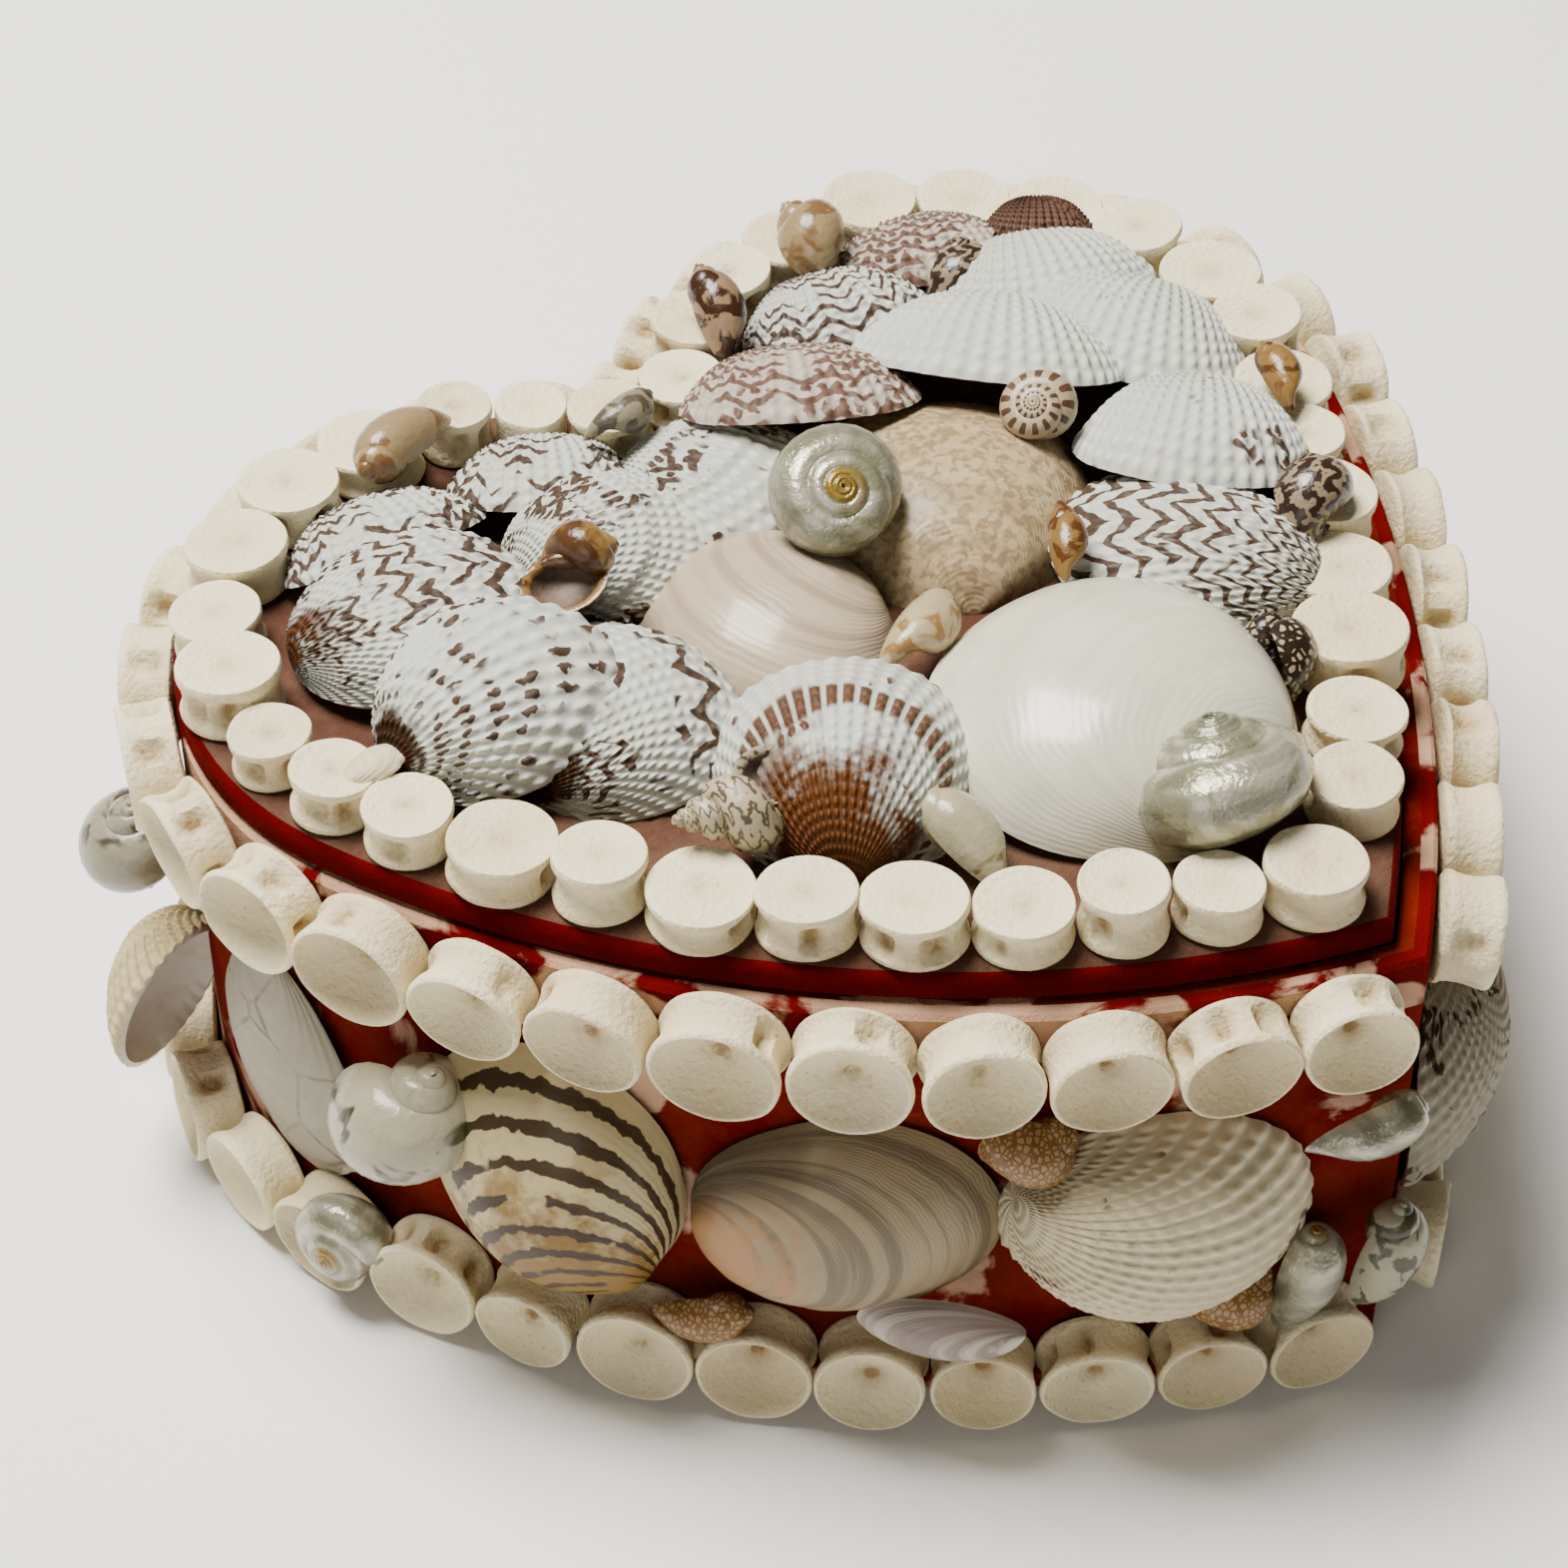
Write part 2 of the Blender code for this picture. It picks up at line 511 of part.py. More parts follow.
def add_shells(shells, placer, keep_out, parts, cutters):
    """Each shell of a table, cut back by the keep-out and by the shells before it."""
    laid = []
    for shell in shells:
        place = placer(shell)
        form = FORMS[shell.kind]
        obj = add_object(shell.name, form(shell, 0), shell.colour, parts, place)
        boolean(obj, keep_out, "DIFFERENCE")
        centre, reach = spread(place, shell)
        for other_centre, other_reach, grown in laid:
            if (centre - other_centre).length < reach + other_reach:
                boolean(obj, grown, "DIFFERENCE")
        settle(obj)
        grown = add_object(shell.name + "_room", form(shell, SHELL_GAP), shell.colour, cutters, place)
        laid.append((centre, reach, as_cutter(grown)))


def main():
    """Build the whole box."""
    for obj in list(bpy.data.objects):
        bpy.data.objects.remove(obj, do_unlink=True)
    parts = bpy.data.collections.new("shell_box")
    cutters = bpy.data.collections.new("cutters")
    bpy.context.scene.collection.children.link(parts)
    bpy.context.scene.collection.children.link(cutters)

    boards_and_wall(parts)
    lid_row(parts, cutters)

    below, above = -CUTTER_REACH, LID_TOP + CUTTER_REACH
    wall_room = loft(((GAP, below), (GAP, above)), WALL_SHIFT)
    wall_room = as_cutter(add_object("wall_room", wall_room, "velvet", cutters))
    wall_row("upper_vertebra_row", UPPER_ROW, UPPER_ROW_HEIGHT, UPPER_ROW_DROOP,
             parts, cutters, wall_room)
    wall_row("lower_vertebra_row", LOWER_ROW, LOWER_ROW_HEIGHT, 0.0, parts, cutters, wall_room)

    row_depth = SIDE_DISC_DEPTH + 2 * GAP
    low = LOWER_ROW_HEIGHT + BAND_ABOVE_LOWER_ROW
    high = UPPER_ROW_HEIGHT - BAND_BELOW_UPPER_ROW
    band = loft(((row_depth, below), (row_depth, low), (GAP, low + BAND_BEVEL),
                 (GAP, high - BAND_BEVEL), (row_depth, high), (row_depth, above)), WALL_SHIFT)
    band_room = as_cutter(add_object("band_room", band, "velvet", cutters))
    inner = LID_ROW_INSET + TRAY_MARGIN
    row_top = BED + max(LID_DISC_HEIGHTS) + GAP
    tray = loft(((CUTTER_REACH, LID_BOTTOM - CUTTER_REACH), (CUTTER_REACH, row_top),
                 (-inner, row_top), (-inner, BED)), LID_SHIFT)
    tray_room = as_cutter(add_object("tray_room", tray, "velvet", cutters))

    add_shells(LID_SHELLS, lid_place, tray_room, parts, cutters)
    route = Route(0, WALL_SHIFT)
    add_shells(WALL_SHELLS, lambda shell: wall_place(shell, route), band_room, parts, cutters)


main()
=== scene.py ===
import math
import random
from collections import namedtuple

import bmesh
import bpy
from bpy.props import FloatProperty, FloatVectorProperty, PointerProperty
from mathutils import Matrix, Vector, noise


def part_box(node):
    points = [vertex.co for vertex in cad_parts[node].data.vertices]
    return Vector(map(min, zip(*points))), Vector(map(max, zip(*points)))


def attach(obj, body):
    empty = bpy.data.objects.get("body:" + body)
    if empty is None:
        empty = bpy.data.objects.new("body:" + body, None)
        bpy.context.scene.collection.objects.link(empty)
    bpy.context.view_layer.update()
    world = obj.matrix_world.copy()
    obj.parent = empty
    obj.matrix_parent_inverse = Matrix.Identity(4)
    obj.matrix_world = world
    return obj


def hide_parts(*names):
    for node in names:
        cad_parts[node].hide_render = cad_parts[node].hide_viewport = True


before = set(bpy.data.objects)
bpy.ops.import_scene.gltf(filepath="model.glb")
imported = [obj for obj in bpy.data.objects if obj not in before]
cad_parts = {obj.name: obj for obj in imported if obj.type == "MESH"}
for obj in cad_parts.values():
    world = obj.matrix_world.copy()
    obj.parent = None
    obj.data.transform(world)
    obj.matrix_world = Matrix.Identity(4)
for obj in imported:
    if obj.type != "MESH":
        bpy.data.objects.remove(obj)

bl_info = {
    "name": "Shell keepsake box",
    "version": (1, 0, 0),
    "blender": (4, 5, 0),
    "location": "View3D > Sidebar > Shell Box",
    "description": "Heart-shaped box covered with sea shells and fish vertebrae",
    "category": "Object",
}

MM = 0.001
NOISE_SEED = 7
DISC_MERGE, VALVE_MERGE, SNAIL_MERGE = 0.0005, 0.0008, 0.0004
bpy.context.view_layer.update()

# Heart outline of the wall's outer face in plan, in millimetres.
LOBE_X = 26.8
LOBE_Y = 21.8
LOBE_RADIUS = 34.6
TIP = Vector((6.8, -55.8))
JOIN_LEFT = math.radians(18.5)
JOIN_RIGHT = math.radians(27.5)
CLEFT_RISE = 11.2
SIDE_POINTS = 24
LOBE_POINTS = 44
NEAREST_TRIES = 20

# The loose lid lies a little to the left on the wall.
WALL_SHIFT = Vector((0.6, -0.5))
LID_SHIFT = Vector((-0.7, 0.6))

# Boards and wall: the lid's inset from the wall's face, the wall's thickness, their rounded edges,
# how far the glue reaches down the wall, and the lid's lower and upper edge as the step inward and
# the step down or up at each corner.
LID_INSET = 1.7
WALL_THICKNESS = 3.0
BASE_EDGE = 0.5
WALL_EDGE = 0.4
WALL_TOP_FACE = 1.5
GLUE_DEPTH = 5.5
GLUED_SECTIONS = {1, 2, 3, 4}
LID_FOOT = ((0.4, 0.0), (0.0, 0.4))
LID_SHOULDER = ((0.0, 1.3), (0.2, 0.6), (0.7, 0.15), (1.4, 0.0))
LEVEL_FACE = 0.8

# Rows of vertebrae, as diameters in order from the tip.
LID_ROW_INSET = 6.2
LID_ROW_LEFT = (8.9, 7.9, 8.1, 8.6, 9.3, 8.5, 9.4, 8.1, 9.7, 8.0,
                7.7, 7.6, 9.3, 8.5, 9.6, 9.6, 10.0, 7.2, 7.0, 8.3)
LID_ROW_RIGHT = (7.7, 8.3, 9.7, 9.0, 9.0, 7.5, 8.8, 8.2, 9.3, 8.5,
                 8.6, 9.0, 9.0, 8.6, 7.7, 8.3, 8.0)
LID_DISC_HEIGHTS = (4.2, 3.9, 5.0, 3.6, 4.6, 4.4, 3.9, 5.4, 4.0, 4.5)
LID_ROW_CLEFT_GAP = 14.5
LID_ROW_TIP_TURN = 3.0
LID_DISC_SINK = 0.15
LID_DISC_PITS = (0, 2, 3, 4, 2)
SIDE_DISC_DEPTH = 5.4
SIDE_DISC_SINK = 0.25
SIDE_DISC_PITS = (2, 3, 4, 5)
UPPER_ROW_DROOP = 3.0
UPPER_ROW_HEIGHT = 45.6
LOWER_ROW_HEIGHT = 5.9
ROW_CORNER = 4.3
LID_ROW_SEED, UPPER_ROW_SEED, LOWER_ROW_SEED = 11, 23, 37
UPPER_ROW = (9.8, 10.8, 10.5, 10.2, 10.6, 10.9, 10.3, 10.7, 10.1, 10.5, 10.8, 10.4, 10.6,
             10.2, 10.9, 10.5, 10.3, 10.1, 10.4, 10.6, 10.2, 10.7, 10.5, 10.8, 10.6,
             10.3, 10.6, 10.2, 10.4, 11.1, 10.4, 10.1, 10.2, 10.4, 9.9)
LOWER_ROW = (9.9, 10.5, 10.2, 10.7, 10.4, 10.1, 10.6, 10.3, 10.8, 10.2, 10.5, 9.9, 10.6,
             10.3, 10.7, 10.2, 10.4, 10.6, 10.1, 10.5, 10.3, 10.6, 10.2, 10.8, 10.4, 10.1,
             10.5, 10.7, 9.7, 10.6, 10.3, 9.9, 9.5, 10.2, 9.8, 9.9)

# Outline of one vertebra from the middle of its foot to the middle of its face, as shares of its
# radius and its height, with the share of ochre stain at each point.
UPRIGHT_DISC = ((0.0, 0.0, 0.3), (0.90, 0.0, 0.5), (0.99, 0.05, 0.45), (1.0, 0.14, 0.25),
                (0.965, 0.22, 0.2), (0.93, 0.34, 0.25), (0.915, 0.50, 0.25), (0.93, 0.64, 0.15),
                (0.97, 0.75, 0.1), (1.0, 0.83, 0.05), (1.0, 0.93, 0.0), (0.975, 0.99, 0.0),
                (0.93, 1.0, 0.0), (0.84, 0.97, 0.02), (0.45, 0.955, 0.06), (0.14, 0.935, 0.3),
                (0.0, 0.90, 0.5))
DISHED_DISC = ((0.0, 0.0, 0.3), (0.90, 0.0, 0.4), (0.99, 0.05, 0.3), (1.0, 0.13, 0.2),
               (0.955, 0.22, 0.25), (0.925, 0.36, 0.25), (0.92, 0.52, 0.2), (0.94, 0.66, 0.15),
               (0.985, 0.80, 0.05), (1.0, 0.90, 0.0), (0.985, 0.97, 0.0), (0.95, 1.0, 0.0),
               (0.92, 0.985, 0.03), (0.885, 0.88, 0.15), (0.70, 0.64, 0.20), (0.38, 0.44, 0.26),
               (0.16, 0.36, 0.5), (0.09, 0.24, 1.0), (0.0, 0.20, 1.0))
DISC_STEPS = 40
DISH_START = 12

# How one vertebra differs from the next: the strength of its waist and cup, its ovalness, the
# spacing in radians, width and strength of its pits, and how it leans and turns in its row.
WAIST_RANGE = (0.3, 1.6)
CUP_RANGE = (0.6, 1.15)
MOST_OVAL = 0.03
PIT_SPACING = (0.75, 1.35)
PIT_WIDTH = (0.8, 1.3)
PIT_STRENGTH = (0.8, 1.5)
PIT_STAIN = 0.6
LID_DISC_LEAN = 0.05
LID_DISC_TURN = 0.4
LID_DISC_FIT = (0.98, 1.01)
SIDE_DISC_FALL = 0.07
SIDE_DISC_TURN = 0.08
SIDE_DISC_SPIN = (0.6, 1.6)
SIDE_DISC_FIT = (0.97, 1.01)

# How one kind of valve grows and is sculpted. bend is how far its lip has turned since the umbo,
# beak and lean where the umbo stands, ribs, rings and steps counts over the whole valve.
Relief = namedtuple("Relief", "bend beak lean ribs rib_depth rings bead steps step_depth jag")
RELIEFS = {
    "cockle": Relief(84, 0.30, 0.00, 40, 0.22, 20, 0.9, 0, 0.0, 0.0),
    "beaded": Relief(84, 0.30, 0.05, 40, 0.18, 24, 1.1, 0, 0.0, 0.1),
    "scaly": Relief(88, 0.35, -0.05, 30, 0.34, 13, 1.2, 0, 0.0, 0.5),
    "stepped": Relief(84, 0.30, 0.05, 44, 0.18, 24, 0.9, 5, 0.45, 0.1),
    "jagged": Relief(80, 0.30, 0.00, 36, 0.24, 16, 0.8, 4, 0.30, 0.9),
    "fine": Relief(78, 0.25, 0.00, 44, 0.22, 18, 0.4, 0, 0.0, 0.05),
    "ark": Relief(86, 0.30, -0.10, 34, 0.40, 18, 0.20, 5, 0.12, 0.0),
    "smooth": Relief(74, 0.15, 0.05, 0, 0.0, 0, 0.0, 14, 0.05, 0.0),
    "lined": Relief(78, 0.20, 0.05, 0, 0.0, 0, 0.0, 34, 0.12, 0.0),
    "flake": Relief(50, 0.05, 0.00, 0, 0.0, 0, 0.0, 7, 0.15, 0.7),
}

# Colours and markings of one valve: its ground, umbo patch and marks, how much of the ground the
# zigzags, spots and bands cover, the rows and height of a zigzag, how far the umbo patch reaches,
# how dark the sides are, the gloss, where a belt of colour lies, and how mottled it is.
Look = namedtuple(
    "Look", "ground heart marks zigzag rows wave spots bands patch shade gloss ring mottle",
    defaults=(0.0, 0.0))
LOOKS = {
    "white": Look("white", "white", "brown", 0.0, 10, 1.5, 0.0, 0.0, 0.0, 0.0, 0.1),
    "white_spotted": Look("white", "white", "brown", 0.10, 9, 1.5, 0.38, 0.0, 0.0, 0.0, 0.1),
    "zigzag": Look("white", "rust", "brown", 0.46, 11, 1.7, 0.35, 0.0, 0.30, 0.0, 0.1),
    "bold_zigzag": Look("white", "rust", "brown", 0.66, 12, 1.9, 0.25, 0.0, 0.25, 0.0, 0.2),
    "comma": Look("white", "umber", "brown", 0.0, 9, 1.5, 0.62, 0.0, 0.34, 0.0, 0.1),
    "beaded_white": Look("white", "umber", "brown", 0.30, 9, 1.5, 0.10, 0.0, 0.46, 0.0, 0.1),
    "banded": Look("white", "rust", "rust", 0.0, 9, 1.5, 0.20, 0.0, 0.55, 0.0, 0.2, 0.70),
    "purple_speckle": Look("lilac", "plum", "plum", 0.55, 12, 1.2, 0.55, 0.0, 0.40, 0.1, 0.1),
    "beige_speckle": Look("chalk", "tan", "umber", 0.20, 12, 1.2, 0.30, 0.0, 0.30, 0.1, 0.1),
    "purple_edge": Look("white", "white", "plum", 0.0, 9, 1.5, 0.05, 0.0, 0.0, 0.7, 0.1),
    "olive_edge": Look("white", "white", "olive", 0.0, 9, 1.5, 0.0, 0.0, 0.0, 0.5, 0.1),
    "dark": Look("plum", "umber", "brown", 0.5, 8, 1.5, 0.4, 0.0, 0.6, 0.2, 0.1),
    "tan_mottle": Look("sand", "cream", "tan", 0.0, 8, 1.5, 0.0, 0.35, 0.0, 0.0, 0.5, 0.0, 0.75),
    "pink_bands": Look("blush", "rose", "rose", 0.0, 9, 1.5, 0.0, 0.55, 0.35, 0.0, 0.8),
    "milk": Look("milk", "milk", "mauve", 0.0, 10, 1.5, 0.0, 0.10, 0.0, 0.15, 1.0),
    "grey_pink": Look("dusk", "apricot", "slate", 0.0, 20, 1.5, 0.0, 0.60, 0.48, 0.6, 0.5),
    "dashed": Look("cream", "ochre", "umber", 0.64, 12, 0.15, 0.0, 0.0, 0.70, 0.0, 0.4),
    "cream_spotted": Look("ivory", "ivory", "rust", 0.0, 9, 1.5, 0.12, 0.0, 0.0, 0.0, 0.2),
    "cream": Look("cream", "sand", "tan", 0.0, 9, 1.5, 0.0, 0.25, 0.20, 0.0, 0.2),
    "chalk": Look("chalk", "chalk", "slate", 0.0, 9, 1.5, 0.0, 0.10, 0.0, 0.0, 0.1),
    "chip": Look("ivory", "ivory", "tan", 0.0, 9, 1.5, 0.0, 0.15, 0.0, 0.0, 0.1),
    "wedge": Look("lilac", "milk", "mauve", 0.0, 6, 1.5, 0.0, 0.80, 0.30, 0.6, 0.6),
}
TINTS = {
    "white": (0.51, 0.525, 0.47), "milk": (0.58, 0.56, 0.44), "chalk": (0.30, 0.27, 0.20),
    "cream": (0.46, 0.38, 0.20), "sand": (0.42, 0.32, 0.18), "tan": (0.18, 0.12, 0.06),
    "blush": (0.42, 0.34, 0.24), "rose": (0.22, 0.15, 0.10), "apricot": (0.34, 0.18, 0.07),
    "ivory": (0.62, 0.54, 0.36), "dusk": (0.27, 0.21, 0.12), "lilac": (0.44, 0.38, 0.32),
    "plum": (0.090, 0.045, 0.030), "mauve": (0.17, 0.12, 0.11), "brown": (0.034, 0.012, 0.003),
    "rust": (0.070, 0.022, 0.004), "umber": (0.022, 0.008, 0.002), "ochre": (0.20, 0.11, 0.015),
    "slate": (0.065, 0.045, 0.032), "olive": (0.14, 0.13, 0.07),
}

# Colours of the other finishes, each from its dark to its pale tone where it has two.
OLD_BONE, BONE_DUST, BONE_FLECK = (0.66, 0.54, 0.32), (0.86, 0.82, 0.66), (0.30, 0.24, 0.16)
WORN_RED, WORN_RIM, WORN_LID = (0.20, 0.022, 0.0), (0.13, 0.002, 0.0), (0.15, 0.085, 0.055)
# The lid's edge velvet is darker than the red velvet, with still darker patches: painted shade on the
# lid's side.
SHADED_EDGE_RED, EDGE_SHADE_PATCH, PILE_SHADOW = (0.12, 0.0, 0.0), (0.06, 0.0, 0.0), (0.02, 0.0, 0.0)
VALVE_INSIDE = (0.46, 0.38, 0.29), (0.58, 0.54, 0.47)
# Near-black tones for the closed mouth of a snail: painted shade inside the mouth.
SHADED_MOUTH = (0.05, 0.03, 0.02), (0.14, 0.09, 0.06)
PEARL_CLOUDS = (0.24, 0.24, 0.15), (0.46, 0.44, 0.35)
PEARL_WEAR, PEARL_GROOVE_SHADE = (0.24, 0.22, 0.14), (0.13, 0.125, 0.075)
BRASSY_APEX, SILVER_APEX = (0.28, 0.17, 0.015), (0.22, 0.22, 0.15)
WARM_LIGHT, WARM_SKY, FLOOR_SHADE = (1.0, 0.965, 0.90), (1.0, 0.97, 0.92, 1.0), (0.8, 0.8, 0.8)

# Valves on the lid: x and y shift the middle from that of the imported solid, and rise its top.
# A heading runs from the umbo to the lip, and a tilt lifts the lip.
Valve = namedtuple("Valve", "node relief look x y rise width length dome heading tilt slot")
LID_VALVES = [Valve(*row) for row in (
    ("speckled_lens_shell", "fine", "purple_speckle", 0, 0, -0.8, 23, 18, 5, -122, 26, "purple_shell"),
    ("white_serrated_shell", "fine", "white", 0, 0, 0, 26, 20, 6, -140, 26, "white_shell"),
    ("chevron_edge_shell", "scaly", "comma", 0, 0, 0, 22, 22, 6.5, 5, 18, "brown_shell"),
    ("domed_white_shell", "fine", "white_spotted", 0, 0, 0, 22.5, 20, 6.5, -138, 20, "white_shell"),
    ("banded_ribbed_shell", "beaded", "banded", 0, 0, 0, 24.5, 25, 9.5, 45, 14, "brown_shell"),
    ("large_white_clam", "smooth", "milk", 1.2, -0.8, 0, 34.5, 33, 9, 100, 8, "white_shell"),
    ("hooked_chevron_shell", "cockle", "bold_zigzag", 0, 0, 0, 22.5, 26, 6.5, 120, 8, "brown_shell"),
    ("purple_edge_shell", "fine", "purple_edge", -2.0, 1.7, 0, 25, 20, 6, -150, 18, "white_shell"),
    ("brown_chevron_shell", "cockle", "zigzag", -0.5, -1.5, -0.5, 22, 23, 5, -15, 10, "brown_shell"),
    ("beaded_fan_shell", "beaded", "beaded_white", 1.2, 1.5, 0, 24, 22, 6.5, 5, 10, "white_shell"),
    ("stepped_fan_shell", "stepped", "white_spotted", 0, 0, 0, 20, 20, 6, -8, 12, "white_shell"),
    ("jagged_fan_shell", "jagged", "white_spotted", 0, 0, 0, 21, 20, 5.5, -68, 12, "white_shell"),
    ("tan_mottled_clam", "smooth", "tan_mottle", 0.4, 2.2, 0, 30, 30, 8, 55, 4, "tan_shell"),
    ("pink_clam", "smooth", "pink_bands", 0, 0, 0, 26, 22, 6.5, 180, 4, "pink_shell"),
    ("olive_edge_shell", "fine", "olive_edge", 0, 0, 0, 22, 16, 5, -115, 22, "white_shell"),
    ("red_dotted_lens_shell", "cockle", "zigzag", 1.4, -1.1, -1.0, 19, 15, 5, -125, 28, "white_shell"),
    ("upper_lens_shell", "cockle", "zigzag", 0, -1, 0, 20, 14, 5, -98, 36, "brown_shell"),
    ("wavy_chevron_shell", "cockle", "bold_zigzag", 0, 0, 0, 20, 14, 4.5, -105, 16, "brown_shell"),
    ("scalloped_thin_shell", "cockle", "purple_speckle", 0, 0, 0, 20, 13, 4.5, -118, 18, "purple_shell"),
    ("small_dark_valve", "cockle", "dark", 0.5, 0, -0.5, 11, 9, 3, -130, 20, "grey_shell"),
)]

# Valves round the wall, their domes facing out. x shifts a valve along the wall and y up it.
WALL_VALVES = [Valve(*row) for row in (
    ("ribbed_ark_shell", "ark", "cream_spotted", 0, 0, 0, 24, 28.5, 9, -15, 0, "white_shell"),
    ("pink_grey_clam", "lined", "grey_pink", 0, 0, 0, 22.5, 27.5, 7.5, 4, 0, "pink_shell"),
    ("dashed_oval_clam", "smooth", "dashed", 0, 0, 0, 24, 28.5, 9, 115, 0, "cream_shell"),
    ("flat_whitish_shell", "flake", "chalk", -0.5, -2.0, 0, 18, 27, 2, -80, 0, "cream_shell"),
    ("fan_ribbed_shell", "ark", "cream", 0.5, -6.0, 4.0, 19, 15, 6, -20, 55, "tan_shell"),
    ("speckled_side_shell", "cockle", "beige_speckle", -3, -1.5, 0, 25, 25, 8, -100, 0, "brown_shell"),
    ("right_pale_clam", "lined", "cream", 0, 0, 0, 29, 24, 7.5, -85, 0, "white_shell"),
    ("right_ribbed_shell", "ark", "cream", 0, 0, 0, 28, 24, 7.5, -95, 0, "tan_shell"),
    ("right_pink_clam", "lined", "grey_pink", 0, 0, 0, 29, 24, 7, -90, 0, "pink_shell"),
    ("right_brown_shell", "cockle", "zigzag", 0, 0, 0, 28, 24, 7.5, -80, 0, "brown_shell"),
    ("back_right_clam", "lined", "cream", 0, 0, 0, 28, 24, 7, -95, 0, "white_shell"),
    ("back_right_shell", "ark", "cream_spotted", 0, 0, 0, 24, 24, 6.5, -85, 0, "cream_shell"),
    ("back_left_shell", "ark", "cream", 0, 0, 0, 24, 24, 6.5, -95, 0, "tan_shell"),
    ("back_left_clam", "lined", "grey_pink", 0, 0, 0, 28, 24, 7, -85, 0, "white_shell"),
)]

# How one kind of snail coils: whorls, widening per whorl, the coil's distance from its axis, the
# tube's radius, the drop of each whorl and the tube's height, then ribs and their depth, rows of
# beads, the width of the mouth and how far the last part of the tube closes.
Coil = namedtuple("Coil", "whorls widening gap tube drop tall ribs rib_depth beads slit close")
COILS = {
    "nerite": Coil(3.2, 2.3, 0.30, 0.60, 1.00, 1.10, 0, 0.0, 0, 0.85, 0.0),
    "dove": Coil(4.0, 1.95, 0.24, 0.48, 1.30, 1.55, 0, 0.0, 0, 0.45, 0.0),
    "egg": Coil(3.2, 2.15, 0.22, 0.52, 1.10, 1.45, 0, 0.0, 0, 0.40, 0.0),
    "cowrie": Coil(2.6, 2.6, 0.22, 0.55, 1.00, 1.60, 0, 0.0, 0, 0.36, 0.0),
    "whelk": Coil(4.5, 1.85, 0.34, 0.44, 1.45, 1.10, 7, 0.08, 0, 0.85, 0.0),
    "turban": Coil(4.5, 1.80, 0.54, 0.48, 0.66, 0.95, 0, 0.0, 0, 0.85, 0.5),
    "top": Coil(4.2, 1.80, 0.58, 0.46, 0.74, 0.92, 0, 0.0, 18, 0.85, 0.5),
}

# Snails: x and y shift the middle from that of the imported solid. spin turns one about its axis.
Snail = namedtuple("Snail", "node coil finish x y rise length heading tilt spin slot")
LID_SNAILS = [Snail(*row) for row in (
    ("tan_glossy_snail", "egg", "tan_gloss", 0, 0, 0, 12.5, 200, 5, 180, "tan_shell"),
    ("grey_snail", "egg", "grey_net", 0, 0, 0, 8.5, 10, 10, 180, "grey_shell"),
    ("amber_snail", "nerite", "tan_gloss", 0, 0, 0, 9.5, 100, 30, 180, "amber_shell"),
    ("dark_drop_snail", "egg", "dark_blotch", 0, -0.5, -0.5, 11, 80, 35, 180, "grey_shell"),
    ("striped_snail", "nerite", "dark_stripe", 0, 0, 0, 9.5, 60, 40, 200, "grey_shell"),
    ("honey_snail", "egg", "honey_gloss", 0, 0, 1.5, 11.5, 25, 5, 180, "amber_shell"),
    ("amber_edge_snail", "egg", "amber_gloss", 0, 0, -0.5, 8.5, 75, 15, 180, "amber_shell"),
    ("dark_side_snail", "nerite", "dark_stripe", 0, 0, 0, 9.5, 60, 20, 200, "grey_shell"),
    ("net_patterned_snail", "nerite", "net", 1.0, 1.0, 2.5, 9, 75, 40, 250, "grey_shell"),
    ("cream_snail", "egg", "cream_gloss", 0, 0, 1.0, 12, 105, 25, 180, "cream_shell"),
    ("dark_speckled_snail", "whelk", "whelk", 0.6, -2.6, 1.0, 13.5, 160, 5, 330, "grey_shell"),
    ("open_amber_snail", "nerite", "aperture", 0, 0, 0, 10.0, -20, 10, 20, "amber_shell"),
)]
TURBANS = [Snail(*row) for row in (
    ("pearl_turban", "turban", "pearl", 0, 0, 0, 12.8, -115, 55, 90, "pearl_shell"),
    ("lower_turban", "top", "silver", 0, 0, 0, 16, 70, 62, 90, "pearl_shell"),
)]
WALL_SNAILS = [Snail(*row) for row in (
    ("lumpy_pale_shell", "nerite", "lumpy", 0, -1.0, 0.5, 16, 70, 0, 180, "cream_shell"),
    ("small_wall_turban", "turban", "pearl", -3.7, -7.5, 1.5, 9.5, 0, 90, 0, "pearl_shell"),
    ("mottled_green_snail", "egg", "green_mottle", 2.2, 0, 0, 13, 80, 0, 180, "grey_shell"),
    ("pearl_oval_snail", "cowrie", "pearl", 0, 0, 0, 11.5, 20, 0, 180, "pearl_shell"),
    ("grey_left_snail", "nerite", "worn_grey", 0, -7.0, 3.5, 15, 80, 0, 180, "grey_shell"),
)]
# Snails that lie on other shells, with no solid of their own: the rise is the level of the top.
LID_EXTRAS = [Snail(*row) for row in (
    ("dotted_button_snail", "turban", "dotted", 22.5, 10.0, 64.0, 7.2, -150, 55, 90, "tan_shell"),
    ("amber_brown_snail", "dove", "amber_gloss", 12.0, -5.5, 62.5, 8.5, 60, 20, 180, "amber_shell"),
)]
# The same on the wall: distance along the outline from the tip, height, and distance from the wall.
WALL_EXTRAS = [Snail(*row) for row in (
    ("granular_brown_snail", "egg", "brown_net", -62.0, 11.8, 3.5, 10.0, 20, 0, 180, "amber_shell"),
    ("net_brown_snail", "nerite", "brown_net", -34.7, 36.8, 3.5, 8.6, 30, 0, 180, "amber_shell"),
    ("pearl_drop_snail", "cowrie", "pearl", -9.3, 15.0, 3.5, 13.0, 85, 0, 180, "pearl_shell"),
    ("beige_small_snail", "nerite", "brown_net", -16.0, 14.0, 3.0, 8.5, 40, 0, 180, "tan_shell"),
)]
